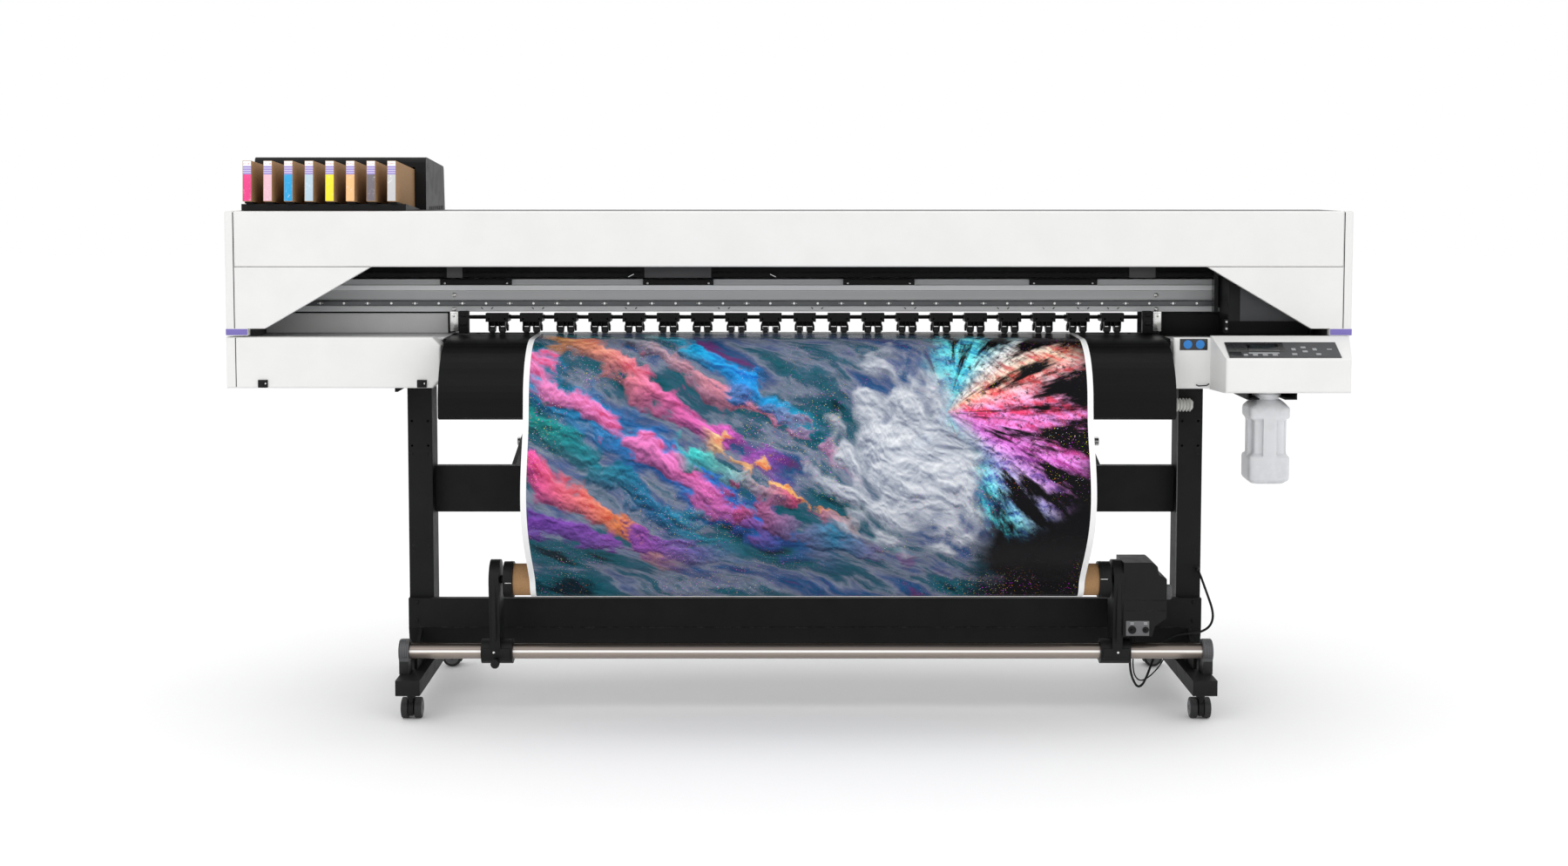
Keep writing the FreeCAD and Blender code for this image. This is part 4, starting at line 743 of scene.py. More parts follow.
# ink cartons: folded card with a coloured front label, each in its carrier
inkLook = {"firstX": -1.340, "pitch": 0.05065, "width": 0.022, "height": 0.100, "length": 0.480,
           "place": (-0.200, 1.285), "tilt": 4.4,
           "inks": [(0.80, 0.05, 0.24), (0.80, 0.48, 0.56), (0.01, 0.34, 0.68), (0.46, 0.60, 0.70),
                    (0.90, 0.76, 0.02), (0.90, 0.50, 0.22), (0.16, 0.14, 0.16), (0.56, 0.56, 0.57)]}


# a front label: white strip, violet bands, then the ink's colour printed a little unevenly
def makeLabel(name, ink):
    material, tree, place = openMaterial(name)
    uv = put(tree, "ShaderNodeUVMap", uv_map="flat").outputs[0]
    parts = put(tree, "ShaderNodeSeparateXYZ", {0: uv})
    up, side = parts.outputs["Y"], parts.outputs["X"]
    cloud = put(tree, "ShaderNodeTexNoise", {"Vector": place, "Scale": 90.0, "Detail": 5.0,
                                             "Roughness": 0.7, "Distortion": 1.2}).outputs[0]
    lightInk = tuple(min(1.0, part * 0.6 + 0.42) for part in ink) + (1,)
    colour = blendColour(tree, stepOf(tree, cloud, 0.56, 0.72), ink + (1,), lightInk)
    bands = put(tree, "ShaderNodeMath", {0: up, 1: 0.055}, operation="MODULO").outputs[0]
    stripe = stepOf(tree, bands, 0.036, 0.040)
    violet = blendColour(tree, stripe, (0.30, 0.23, 0.55, 1), (0.72, 0.68, 0.82, 1))
    colour = blendColour(tree, calc(tree, "GREATER_THAN", up, 0.66), colour, violet)
    marks = calc(tree, "MULTIPLY", calc(tree, "GREATER_THAN", noiseOf(tree, place, 500.0, 1.0), 0.52),
                 stepOf(tree, calc(tree, "ABSOLUTE", calc(tree, "SUBTRACT", up, 0.925)), 0.02, 0.012))
    white = blendColour(tree, marks, (0.85, 0.84, 0.83, 1), (0.72, 0.36, 0.36, 1))
    colour = blendColour(tree, calc(tree, "GREATER_THAN", up, 0.88), colour, white)
    margin = calc(tree, "GREATER_THAN", calc(tree, "ABSOLUTE", calc(tree, "SUBTRACT", side, 0.5)), 0.47)
    colour = blendColour(tree, margin, colour, (0.70, 0.66, 0.62, 1))
    bump = put(tree, "ShaderNodeBump", {"Height": cloud, "Distance": 0.00006, "Strength": 0.3})
    closeMaterial(tree, {"specular": 0.4, "coat": 0.1}, colour, calc(tree, "MULTIPLY_ADD", cloud, 0.1, 0.32),
                  bump.outputs[0])
    return material


width, height, length = inkLook["width"], inkLook["height"], inkLook["length"]
tilt = math.radians(-inkLook["tilt"])
spin = np.array([[1, 0, 0], [0, math.cos(tilt), -math.sin(tilt)], [0, math.sin(tilt), math.cos(tilt)]])
for number, ink in enumerate(inkLook["inks"]):
    corner = np.array([inkLook["firstX"] + number * inkLook["pitch"], *inkLook["place"]])
    points, faces = roundBlock((0, 0, 0), (width, length, height), 0.0011, "y", 2)
    uv = np.column_stack([points[:, 0] / width, points[:, 2] / height])
    points = points @ spin.T + corner
    frontFace = max(range(len(faces)), key=lambda n: (len(faces[n]) > 4, -points[faces[n], 1].mean()))
    label = makeLabel("inkLabel%d" % (number + 1), ink)
    body = "ink_case_%d" % (number + 1)
    sides = faces[:frontFace] + faces[frontFace + 1:]
    carton = piece("inkCarton%d" % (number + 1), [(points, sides)], [finish["carton"], label], body=body,
                   slot="carton", uv=uv, more=[([faces[frontFace]], 1)])
    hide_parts(body)
    points, faces = roundBlock((0.001, 0.018, -0.004), (width - 0.001, length, -0.0002), 0.0008, "y", 2)
    piece("inkTray%d" % (number + 1), [(points @ spin.T + corner, faces)], [finish["plastic_black"]], body=body)
print("ink cartons made")


# a pan-head screw that faces the front: rim, dome and a sunk cross
def frontScrew(x, y, z, radius):
    return turned([(0.0, radius * 0.96), (-radius * 0.25, radius), (-radius * 0.55, radius * 0.8),
                   (-radius * 0.7, radius * 0.4), (-radius * 0.45, radius * 0.25),
                   (-radius * 0.45, radius * 0.02)], (x, y, z), "y", 16)


# a piece of rounded blocks, each given as (low, high, radius, axis, steps)
def blocks(name, look, boxes, **rest):
    return piece(name, [roundBlock(*box) for box in boxes], [finish[look]], **rest)


# such blocks from pairs of X limits; low and high are the (Y, Z) that they share
def boxesAt(spans, low, high, radius, axis="x", steps=2):
    return [((start, *low), (stop, *high), radius, axis, steps) for start, stop in spans]


# pairs of limits that reach the same distance to both sides of each centre
def spansAt(centres, half):
    return [(centre - half, centre + half) for centre in centres]


# a piece of screws, each given as (x, y, z, radius)
def screws(name, places, look="screw_steel", slot="steel_bright", **rest):
    return piece(name, [frontScrew(*place) for place in places], [finish[look]], slot=slot, **rest)


# beam details: cover plates with screws, rail screws, slanted ticks, big screws and the cover's brackets
beamLook = {"plates": [(-0.894, -0.710), (-0.373, -0.192), (0.1416, 0.325), (0.620, 0.7945)],
            "plateScrewInset": 0.012,
            "brackets": [(-0.869, -0.829), (-0.366, -0.196), (0.868, 0.935)],
            "railPlace": (0.0203, 1.021), "railFirst": -1.2615, "railPitch": 0.0608, "railCount": 43,
            "railScrew": [(0.0, 0.0030), (-0.0006, 0.0030), (-0.0006, 0.0019), (-0.0002, 0.0001)],
            "railMark": [(0.0, 0.0013), (-0.0005, 0.0012), (-0.0007, 0.0001)], "markOffset": 0.0062,
            "ticks": (-0.774, -0.643, -0.404, -0.165, 0.075, 0.314, 0.553, 0.670, 0.759, 0.836),
            "tickOffset": 0.0135, "tickSpan": (0.0296, 0.0304),
            "tickShape": ((-0.003, 1.0075), (0.001, 1.0105), (0.0032, 1.0105), (-0.0010, 1.0055),
                          (-0.003, 1.0055)),
            "screws": [(-0.8586, 0.0342, 1.0418, 0.0062), (-0.8590, 0.0304, 1.0050, 0.0062),
                       (0.9466, 0.0342, 1.0415, 0.0062), (0.9470, 0.0304, 1.0050, 0.0062)],
            "handles": ((-0.397, 1), (-0.032, -1))}
inset = beamLook["plateScrewInset"]
blocks("beamPlates", "plastic_black", boxesAt(beamLook["plates"], (0.0295, 1.0672), (0.0338, 1.0828), 0.0008))
screws("beamPlateScrews", [(x, 0.0295, 1.0722, 0.0028) for start, stop in beamLook["plates"]
                           for x in (start + inset, stop - inset)])
blocks("beamBrackets", "frame_steel",
       boxesAt(beamLook["brackets"], (-0.020, 1.0885), (-0.012, 1.1180), 0.001), slot="frame_steel")
railX = beamLook["railFirst"] + beamLook["railPitch"] * np.arange(beamLook["railCount"])
piece("railScrews", [turned(beamLook["railScrew"], (x, *beamLook["railPlace"]), "y", 12) for x in railX],
      [finish["screw_steel"]], slot="steel_bright")
piece("railMarks", [turned(beamLook["railMark"], (x + side * beamLook["markOffset"], *beamLook["railPlace"]),
                           "y", 10) for x in railX[1::2] for side in (-1, 1)],
      [finish["panel_light"]], slot="steel_bright")
piece("beamTicks", [extruded([(x + side * (beamLook["tickOffset"] + shift), z)
                              for shift, z in beamLook["tickShape"]], beamLook["tickSpan"], "y")
                    for x in beamLook["ticks"] for side in (-1, 1)], [finish["seam_dark"]])
screws("beamScrews", beamLook["screws"])
# bright steel ticks that stand in for the two diagonal highlights at the front cover's handle recess: painted
# highlights
piece("coverHandleHighlights", [tubeAlong([(x, -0.168, 1.098), (x + 0.006 * side, -0.169, 1.101),
                                      (x + 0.014 * side, -0.169, 1.105)], 0.0012, 8)
                           for x, side in beamLook["handles"]], [finish["screw_steel"]], slot="steel_bright")

# edge guides that hold the film's sides: a silver block and a black slide at each end of the pinch line
edgeLook = {"places": ((-1, -0.850), (1, 0.939)), "slideOffset": 0.0235, "notches": (0.968, 0.990)}
guides, slides, guideScrews = [], [], []
for side, x in edgeLook["places"]:
    near = x - side * edgeLook["slideOffset"]
    guides += [((x - 0.0105, -0.030, 0.9525), (x + 0.0105, -0.012, 1.0035), 0.0015, "z", 2),
               ((x - 0.0085, -0.034, 0.958), (x + 0.0085, -0.029, 0.999), 0.0012, "z", 2)]
    slides.append(((near - 0.0125, -0.026, 0.9465), (near + 0.0125, -0.004, 1.0035), 0.0012, "z", 2))
    slides += [((near - 0.007, -0.031, z), (near + 0.007, -0.025, z + 0.008), 0.001, "x", 2)
               for z in edgeLook["notches"]]
    guideScrews.append((x, -0.034, 0.992, 0.003))
blocks("edgeGuides", "screw_steel", guides, slot="steel_bright")
blocks("edgeGuideSlides", "plastic_black", slides)
screws("edgeGuideScrews", guideScrews)

# decks either side of the platen, and the grey station panel at the left
stationLook = {"left": [((-1.340, -0.126, 0.9385), (-0.858, 0.018, 0.9446), 0.001, "x", 2),
                        ((-1.340, 0.0195, 0.9450), (-0.874, 0.0245, 0.9955), 0.001, "x", 2)],
               "right": [((0.953, 0.020, 0.9405), (1.340, 0.026, 0.9955), 0.001, "x", 2),
                         ((0.953, -0.026, 0.9265), (1.340, 0.020, 0.9395), 0.001, "x", 2)]}
blocks("leftStation", "panel_light", stationLook["left"], slot="beam_aluminium")
blocks("rightStation", "frame_black", stationLook["right"], slot="frame_black")
print("beam details made")


# console: glass display, overlay areas, status light, blank grey strip, sticker with two plain discs;
# plates on the slope are given as (X limits, distances down the slope, heights off it)
consoleLook = {"slope": math.atan2(0.049, 0.100), "top": (-0.200, 0.954),
               "glass": ((1.117, 1.193), (0.045, 0.080), (0.0024, 0.0034)),
               "gloss": [((1.0675, 1.2065), (0.0355, 0.0805), (0.0020, 0.0028)),
                         ((1.0675, 1.0985), (0.0795, 0.1035), (0.0020, 0.0028))],
               "strip": ((1.116, 1.190), (0.0835, 0.089), (0.0020, 0.0030)),
               "light": ((1.309, 1.321), (0.0665, 0.0715), (0.0022, 0.0036), 0.0007),
               "sticker": ((0.9635, -0.2011, 0.9190), (1.0320, -0.1995, 0.9470), 0.0006, "x", 2),
               "disc": [(0.0006, 0.0108), (-0.0003, 0.0108), (-0.0006, 0.0104), (-0.0006, 0.0001)],
               "discX": (0.9830, 1.0135),
               "rod": [(1.036, -0.2045, 0.836), (1.030, -0.2055, 0.832), (1.010, -0.2060, 0.831),
                       (1.004, -0.2055, 0.834)]}


# a plate on the console's slope: down is measured from its rear edge and high stands off it
def onSlope(x, down, high, radius=0.0003):
    points, faces = roundBlock((x[0], -down[1], high[0]), (x[1], -down[0], high[1]), radius, "z", 2)
    lean = consoleLook["slope"]
    turn = np.array([[1, 0, 0], [0, math.cos(lean), -math.sin(lean)], [0, math.sin(lean), math.cos(lean)]])
    return points @ turn.T + np.array([0, *consoleLook["top"]]), faces


for title, changes in {
        "panel_dark": {"colour": (0.018, 0.019, 0.021), "rough": 0.22, "specular": 0.5, "grain": 2200.0,
                       "depth": 0.00001, "worn": (0.06, 0.06, 0.06), "edge": 0.0004},
        "overlay_grey": {"colour": (0.045, 0.047, 0.051), "rough": 0.38, "grain": 1800.0, "edge": 0.0004},
        "blue_disc": {"colour": (0.02, 0.20, 0.58), "rough": 0.35, "edge": 0.0003}}.items():
    finish[title] = makeFinish(title, {**plainLook, **changes})
for place in nodes["panel_face"].material_slots:
    place.material = finish["overlay_grey"]


# display glass: dark with a faint lighter picture area; its centre and half size in X and Y
def makeScreen():
    material, tree, place = openMaterial("display_glass")
    parts = put(tree, "ShaderNodeSeparateXYZ", {0: place})
    lines = calc(tree, "PINGPONG", calc(tree, "MULTIPLY", parts.outputs["Y"], 700.0), 1.0)
    across = calc(tree, "ABSOLUTE", calc(tree, "SUBTRACT", parts.outputs["X"], 1.155))
    down = calc(tree, "ABSOLUTE", calc(tree, "ADD", parts.outputs["Y"], 0.2565))
    lit = calc(tree, "MULTIPLY", stepOf(tree, across, 0.031, 0.030), stepOf(tree, down, 0.0120, 0.0115))
    glass = blendColour(tree, calc(tree, "MULTIPLY", lit, calc(tree, "MULTIPLY_ADD", lines, 0.2, 0.8)),
                        (0.004, 0.004, 0.005, 1), (0.020, 0.026, 0.028, 1))
    smear = useGroup(tree, wipedSmears, {"Vector": place, "Scale": 30.0})["Mask"]
    flat = put(tree, "ShaderNodeBump", {"Height": smear, "Distance": 0.000005, "Strength": 0.2})
    closeMaterial(tree, {"specular": 0.6, "coat": 0.5, "coatRough": 0.05}, glass,
                  calc(tree, "MULTIPLY_ADD", smear, 0.1, 0.12), flat.outputs[0])
    return material


piece("displayGlass", [onSlope(*consoleLook["glass"])], [makeScreen()], slot="panel_dark")
piece("overlayGloss", [onSlope(*part) for part in consoleLook["gloss"]], [finish["panel_dark"]],
      slot="panel_dark")
piece("keyStrip", [onSlope(*consoleLook["strip"])], [finish["key_grey"]], slot="key_grey")
piece("statusLight", [onSlope(*consoleLook["light"])], [finish["key_grey"]], slot="key_grey")
blocks("stickerPlate", "panel_dark", [consoleLook["sticker"]], slot="panel_dark")
piece("stickerDiscs", [turned(consoleLook["disc"], (x, -0.2011, 0.9330), "y", 40)
                       for x in consoleLook["discX"]], [finish["blue_disc"]], slot="panel_dark")
piece("holdDownRod", [tubeAlong(consoleLook["rod"], 0.0016, 10)], [finish["plastic_black"]])
print("console made")

# covers: violet accents, dark seams, clips with screws, the wedge below and the front cover's catches
coverLook = {"accents": [(-1.3866, -1.3335), (1.3335, 1.3866)], "seams": (-1.3650, 1.3650),
             "clips": (-1.297, -0.905), "catches": (-1.060, 1.060),
             "wedge": [(-0.985, 0.8238), (-0.952, 0.8238), (-0.978, 0.808), (-0.985, 0.808)]}
blocks("violetAccents", "accent_purple",
       boxesAt(coverLook["accents"], (-0.2010, 0.9560), (-0.1992, 0.9712), 0.0012), slot="cover_white")
blocks("coverSeams", "seam_dark", boxesAt(spansAt(coverLook["seams"], 0.0011), (-0.2004, 0.9725),
                                          (-0.1985, 1.2585), 0.0003, "z", 1), slot="cover_white")
blocks("lowerCoverSeam", "seam_dark", [((-1.3643, -0.2004, 0.828), (-1.3621, -0.1985, 0.9495), 0.0003, "z", 1)],
       body="left_lower_cover", slot="cover_white")
clips = [box for x in coverLook["clips"] for box in
         (((x - 0.012, -0.2042, 0.8262), (x + 0.012, -0.1992, 0.8455), 0.0012, "x", 2),
          ((x - 0.008, -0.2062, 0.829), (x + 0.002, -0.2035, 0.842), 0.001, "z", 2))]
blocks("coverClips", "plastic_black", clips, body="left_lower_cover")
screws("coverClipScrews", [(x + 0.007, -0.2043, 0.8365, 0.0022) for x in coverLook["clips"]],
       body="left_lower_cover")
piece("cableWedge", [extruded(coverLook["wedge"], (-0.130, -0.050), "y", 0.001)], [finish["frame_black"]],
      slot="frame_black")
blocks("coverCatches", "cover_white", boxesAt(spansAt(coverLook["catches"], 0.030), (-0.2006, 1.1262),
                                              (-0.1970, 1.1290), 0.0012), body="front_cover", slot="cover_white")
print("cover details made")


# waste bottle: soft squares lofted upwards; rows are (height, half width, half depth, squareness, grip depth)
bottleLook = {"centre": (1.202, -0.102), "around": 96, "rows": [
    (0.5772, 0.034, 0.032, 5, 0), (0.5778, 0.040, 0.038, 5, 0), (0.5860, 0.0490, 0.0470, 8, 0),
    (0.5920, 0.0517, 0.0497, 9, 0), (0.6420, 0.0518, 0.0498, 9, 0), (0.6470, 0.0510, 0.0490, 9, 0.02),
    (0.6520, 0.0485, 0.0480, 9, 0.16), (0.6560, 0.0480, 0.0478, 9, 0.19), (0.7340, 0.0480, 0.0478, 9, 0.19),
    (0.7380, 0.0485, 0.0480, 9, 0.16), (0.7430, 0.0510, 0.0490, 9, 0.02), (0.7480, 0.0518, 0.0498, 9, 0),
    (0.7640, 0.0518, 0.0498, 9, 0), (0.7700, 0.0505, 0.0490, 8, 0), (0.7790, 0.0430, 0.0420, 6, 0),
    (0.7865, 0.0350, 0.0350, 3, 0), (0.7885, 0.0312, 0.0312, 2, 0), (0.7970, 0.0310, 0.0310, 2, 0),
    (0.7972, 0.0358, 0.0358, 2, 0), (0.8015, 0.0358, 0.0358, 2, 0), (0.8018, 0.0310, 0.0310, 2, 0),
    (0.8055, 0.0308, 0.0308, 2, 0), (0.8058, 0.0295, 0.0295, 2, 0)]}


# milky bottle plastic, a little darker towards its foot and rippled by the moulding
def makeBottlePlastic():
    material, tree, place = openMaterial("bottle_clear")
    level = stepOf(tree, put(tree, "ShaderNodeSeparateXYZ", {0: place}).outputs["Z"], 0.58, 0.80)
    ripple = noiseOf(tree, place, 45.0, 4.0, 0.6)
    tone = blendColour(tree, level, (0.60, 0.61, 0.63, 1), (0.74, 0.75, 0.77, 1))
    tone = blendColour(tree, stepOf(tree, ripple, 0.4, 0.7), tone, (0.66, 0.67, 0.69, 1))
    grain = useGroup(tree, surfaceGrain, {"Vector": place, "Scale": 700.0})
    bump = put(tree, "ShaderNodeBump", {"Height": calc(tree, "MULTIPLY_ADD", grain["Height"], 0.1, ripple),
                                        "Distance": 0.0006, "Strength": 0.5})
    closeMaterial(tree, {"specular": 0.5}, tone, calc(tree, "MULTIPLY_ADD", ripple, 0.12, 0.28),
                  bump.outputs[0], {"Subsurface Weight": 0.35, "Subsurface Radius": (0.02, 0.02, 0.022),
                                    "Subsurface Scale": 1.0})
    return material


finish["bottle_clear"] = makeBottlePlastic()
# radius = (|cos|/a)^n + (|sin|/b)^n to the power -1/n, drawn in near the corners where the grips are
bearing = np.linspace(0, 2 * np.pi, bottleLook["around"], endpoint=False)
cosine, sine = np.abs(np.cos(bearing)), np.abs(np.sin(bearing))
corner = np.clip((np.abs(np.sin(2 * bearing)) - 0.60) / 0.12, 0, 1)
rings = []
for level, halfX, halfY, power, grip in bottleLook["rows"]:
    radius = ((cosine / halfX) ** power + (sine / halfY) ** power) ** (-1 / power)
    radius = radius * (1 - grip * corner * corner * (3 - 2 * corner))
    rings.append(np.column_stack([bottleLook["centre"][0] + radius * np.cos(bearing),
                                  bottleLook["centre"][1] + radius * np.sin(bearing),
                                  np.full(len(bearing), level)]))
bottle = piece("wasteBottle", [loft(np.stack(rings))], [finish["bottle_clear"]], body="waste_bottle",
               slot="bottle_clear", angle=50)
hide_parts("waste_bottle")

# ribbed drain hose end: the radius swings between ring and groove along its length
hoseLook = {"start": 0.974, "rings": 6, "pitch": 0.008, "outer": 0.017, "inner": 0.0125, "bore": 0.0100,
            "centre": (0, -0.068, 0.769), "lug": ((1.019, -0.068, 0.760), (1.026, -0.0432, 0.778), 0.002, "y", 3)}
t = np.linspace(0, hoseLook["rings"], hoseLook["rings"] * 12 + 1)
wave = np.clip(0.42 + 1.1 * np.sin(2 * np.pi * (t - 0.06)), 0, 1)
outerLine = np.column_stack([hoseLook["start"] + t * hoseLook["pitch"],
                             hoseLook["inner"] + (hoseLook["outer"] - hoseLook["inner"]) * wave])
innerLine = [(hoseLook["start"] + 0.048, hoseLook["bore"]), (hoseLook["start"], hoseLook["bore"])]
hose = piece("drainHoseEnd", [ringTurned(np.concatenate([outerLine, innerLine]), hoseLook["centre"], "x", 40),
                              roundBlock(*hoseLook["lug"])], [finish["hose_white"]], slot="hose_white")
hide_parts("drain_hose")
print("bottle and hose made")

# take-up unit: arm bars, clamp blocks with screws, motor seams, switch plate, holder rings and pins,
# ribbed end blocks, the lower beam's crease and the torque knob's flutes
takeupLook = {"rail": (0, -0.177, 0.163), "core": (0, -0.180, 0.344), "knob": (-0.1800, 0.312),
              "rightArm": [((0.8115, -0.2300, 0.196), (0.8225, -0.2255, 0.352), 0.002, "z", 2),
                           ((0.781, -0.2115, 0.150), (0.848, -0.2050, 0.176), 0.003, "x", 3)],
              "leftArm": [((-0.7345, -0.2300, 0.196), (-0.7245, -0.2255, 0.352), 0.002, "z", 2),
                          ((-0.762, -0.2115, 0.150), (-0.692, -0.2050, 0.176), 0.003, "x", 3)],
              "leftKnob": [(0, 0.006), (-0.012, 0.006), (-0.013, 0.010), (-0.030, 0.011), (-0.032, 0.0085),
                           (-0.032, 0.0002)],
              "seams": (0.2990, 0.2730), "switches": ((0.8500, 0.0100), (0.8835, 0.0080)),
              "switchPlate": ((0.8350, -0.2262, 0.2115), (0.8925, -0.2240, 0.2485), 0.0010, "x", 2),
              "marks": (0.2405, 0.2435), "ribs": (-0.9700, 1.0320), "ribCount": 5, "ribPitch": 0.0045,
              "caps": ((-1, -0.9700), (1, 1.0560)), "flutes": 24, "fluteRadius": 0.0178}
blocks("driveArmBar", "plastic_black", takeupLook["rightArm"])
piece("leftArmBar", [roundBlock(*box) for box in takeupLook["leftArm"]]
      + [turned(takeupLook["leftKnob"], (-0.727, -0.205, 0.142), "y", 20)], [finish["plastic_black"]],
      body="takeup_arm")
screws("clampScrewsRight", [(0.8185, -0.2116, 0.166, 0.0035)])
screws("clampScrewsLeft", [(-0.7325, -0.2116, 0.166, 0.0035)], body="takeup_arm")
finish["switch_grey"] = makeFinish("switch_grey", {**plainLook, "colour": (0.13, 0.13, 0.135), "rough": 0.5,
                                                   "edge": 0.0004})
blocks("motorSeams", "seam_dark", [((0.8335, -0.2256, z), (0.9330, -0.2235, z + 0.0020), 0.0006, "x", 2)
                                   for z in takeupLook["seams"]], slot="plastic_black")
blocks("switchPlate", "switch_grey", [takeupLook["switchPlate"]], slot="panel_dark")
switches = [turned([(0, radius), (-0.002, radius), (-0.003, radius * 0.8), (-0.003, radius * 0.45),
                    (-0.010, radius * 0.36), (-0.011, radius * 0.28), (-0.011, 0.0001)],
                   (x, -0.2262, 0.2265), "y", 24) for x, radius in takeupLook["switches"]]
piece("motorSwitches", switches, [finish["plastic_black"]])
blocks("switchMarks", "panel_light",
       [((x - 0.0045, -0.2264, z), (x + 0.0045, -0.2259, z + 0.0012), 0.0002, "x", 1)
        for x, radius in takeupLook["switches"] for z in takeupLook["marks"]], slot="panel_dark")
ribs = []
for start in takeupLook["ribs"]:
    for number in range(takeupLook["ribCount"]):
        x = start + 0.0030 + number * takeupLook["ribPitch"]
        ribs.append(ringTurned([(x, 0.0285), (x, 0.0300), (x + 0.0022, 0.0300), (x + 0.0022, 0.0285)],
                               takeupLook["rail"], "x", 40))
piece("endBlockRibs", ribs, [finish["clamp_grey"]], slot="clamp_grey")
piece("endBlockCaps", [turned([(0.0, 0.0285), (side * 0.0012, 0.0280), (side * 0.0012, 0.012),
                               (-side * 0.0010, 0.011), (-side * 0.0010, 0.0001)],
                              (x, *takeupLook["rail"][1:]), "x", 32) for side, x in takeupLook["caps"]],
      [finish["rubber_black"]], slot="rubber_black")
for side, x, pin, body in (("right", 0.7745, ((0.7710, -0.2262, 0.3522), (0.7890, -0.2235, 0.3540)), "takeup_roll"),
                           ("left", -0.6925, ((-0.7020, -0.2262, 0.3422), (-0.6860, -0.2235, 0.3440)),
                            "left_core_holder")):
    outline = [(x, 0.0395), (x, 0.0452), (x + 0.0018, 0.0456), (x + 0.0036, 0.0452), (x + 0.0036, 0.0395)]
    piece(side + "HolderRing", [ringTurned(outline, takeupLook["core"], "x", 48)], [finish["plastic_black"]],
          body=body)
    blocks(side + "HolderPin", "screw_steel", [(*pin, 0.0006, "x", 2)], body=body, slot="steel_bright")
for place in nodes["rail_end_clamps"].material_slots:
    place.material = finish["collar_grey"]
blocks("beamCrease", "seam_dark", [((-0.940, -0.0636, 0.1955), (1.026, -0.0626, 0.1985), 0.0004, "x", 1)],
       slot="frame_black")
flutes = []
for bearing in np.linspace(0, 2 * np.pi, takeupLook["flutes"], endpoint=False):
    y = takeupLook["knob"][0] + takeupLook["fluteRadius"] * math.cos(bearing)
    z = takeupLook["knob"][1] + takeupLook["fluteRadius"] * math.sin(bearing)
    flutes.append(((0.9395, y - 0.0012, z - 0.0012), (0.9515, y + 0.0012, z + 0.0012), 0.0006, "x", 1))
blocks("knobFlutes", "clamp_grey", flutes, body="drive_knob", slot="clamp_grey")
print("take-up details made")

# stand: screws and small holes in the legs, the edge strip, plates over the casters, foot caps, wheel hubs
standLook = {"middle": 0.043, "leg": 0.981, "frontScrews": (0.262, 0.215), "topScrews": (-0.019, 0.019),
             "holeX": (-0.0195, 0.0195), "holeZ": (0.392, 0.405, 0.640), "casterY": (-0.220, 0.360),
             "hole": [(0, 0.0026), (-0.0004, 0.0026), (-0.0004, 0.0001)], "capY": (-0.2702, 0.4002),
             "strip": ((0.9905, -0.0460, 0.280), (0.9928, -0.0432, 0.752), 0.0006, "z", 1),
             "axle": 0.026, "wheelEdge": 0.0250, "rearTrail": 0.016,
             "hub": [(0, 0.0001), (0, 0.006), (0.0010, 0.0080), (0.0004, 0.0100), (0.0004, 0.0180),
                     (0.0012, 0.0190), (-0.0020, 0.0192)]}
legScrews, legHoles, casterPlates, footCaps = [], [], [], []
for side in (-1, 1):
    x = standLook["middle"] + side * standLook["leg"]
    legScrews += [(x + side * 0.010, -0.0631, z, 0.0048) for z in standLook["frontScrews"]]
    legScrews += [(x + shift, -0.0431, 0.806, 0.0042) for shift in standLook["topScrews"]]
    legHoles += [turned(standLook["hole"], (x + shift, -0.0431, z), "y", 14)
                 for shift in standLook["holeX"] for z in standLook["holeZ"]]
    casterPlates += [((x - 0.026, y - 0.026, 0.0655), (x + 0.026, y + 0.026, 0.0685), 0.0008, "z", 2)
                     for y in standLook["casterY"]]
    footCaps += [((x - 0.0302, y - 0.0014, 0.0708), (x + 0.0302, y + 0.0014, 0.1092), 0.0012, "z", 2)
                 for y in standLook["capY"]]
screws("legScrews", legScrews, "plastic_black", "frame_black")
piece("legHoles", legHoles, [finish["seam_dark"]], slot="frame_black")
blocks("casterPlates", "screw_steel", casterPlates, slot="steel_bright")
blocks("legStrip", "clamp_grey", [standLook["strip"]], slot="frame_black")
blocks("footCaps", "plastic_black", footCaps)
for row, y, axis, trail in (("front", -0.204, "x", 0), ("rear", 0.360, "y", standLook["rearTrail"])):
    for side, sign in (("left", -1), ("right", 1)):
        centre = (standLook["middle"] + sign * standLook["leg"] - sign * trail, y, standLook["axle"])
        hubs = [turned([(out * (standLook["wheelEdge"] + step), radius) for step, radius in standLook["hub"]],
                       centre, axis, 28) for out in (-1, 1)]
        piece("hubs_%s_%s" % (row, side), hubs, [finish["clamp_grey"]], body="wheels_%s_%s" % (row, side),
              slot="plastic_black")
print("stand details made")

# carriage: its cable ribbons, the sensor with two light dots, and the dark plate on its front
carriageLook = {"ribbons": 5, "ribbonPitch": 0.0022, "dots": (0.983, 0.966),
                "sensor": ((1.0905, -0.1195, 0.957), (1.1005, -0.100, 0.990), 0.001, "z", 2),
                "plate": ((1.128, -0.1222, 0.985), (1.298, -0.1200, 1.092), 0.001, "x", 2)}
ribbonX = 1.0870 + carriageLook["ribbonPitch"] * np.arange(carriageLook["ribbons"])
blocks("carriageRibbons", "panel_dark", [((x, -0.010, 1.000), (x + 0.0014, 0.017, 1.104), 0.0004, "z", 1)
                                         for x in ribbonX], body="carriage")
blocks("carriageSensor", "plastic_black", [carriageLook["sensor"]], body="carriage")
screws("carriageDots", [(1.0955, -0.1195, z, 0.0030) for z in carriageLook["dots"]], "panel_light",
       body="carriage")
blocks("carriagePlate", "overlay_grey", [carriageLook["plate"]], body="carriage", slot="panel_dark")

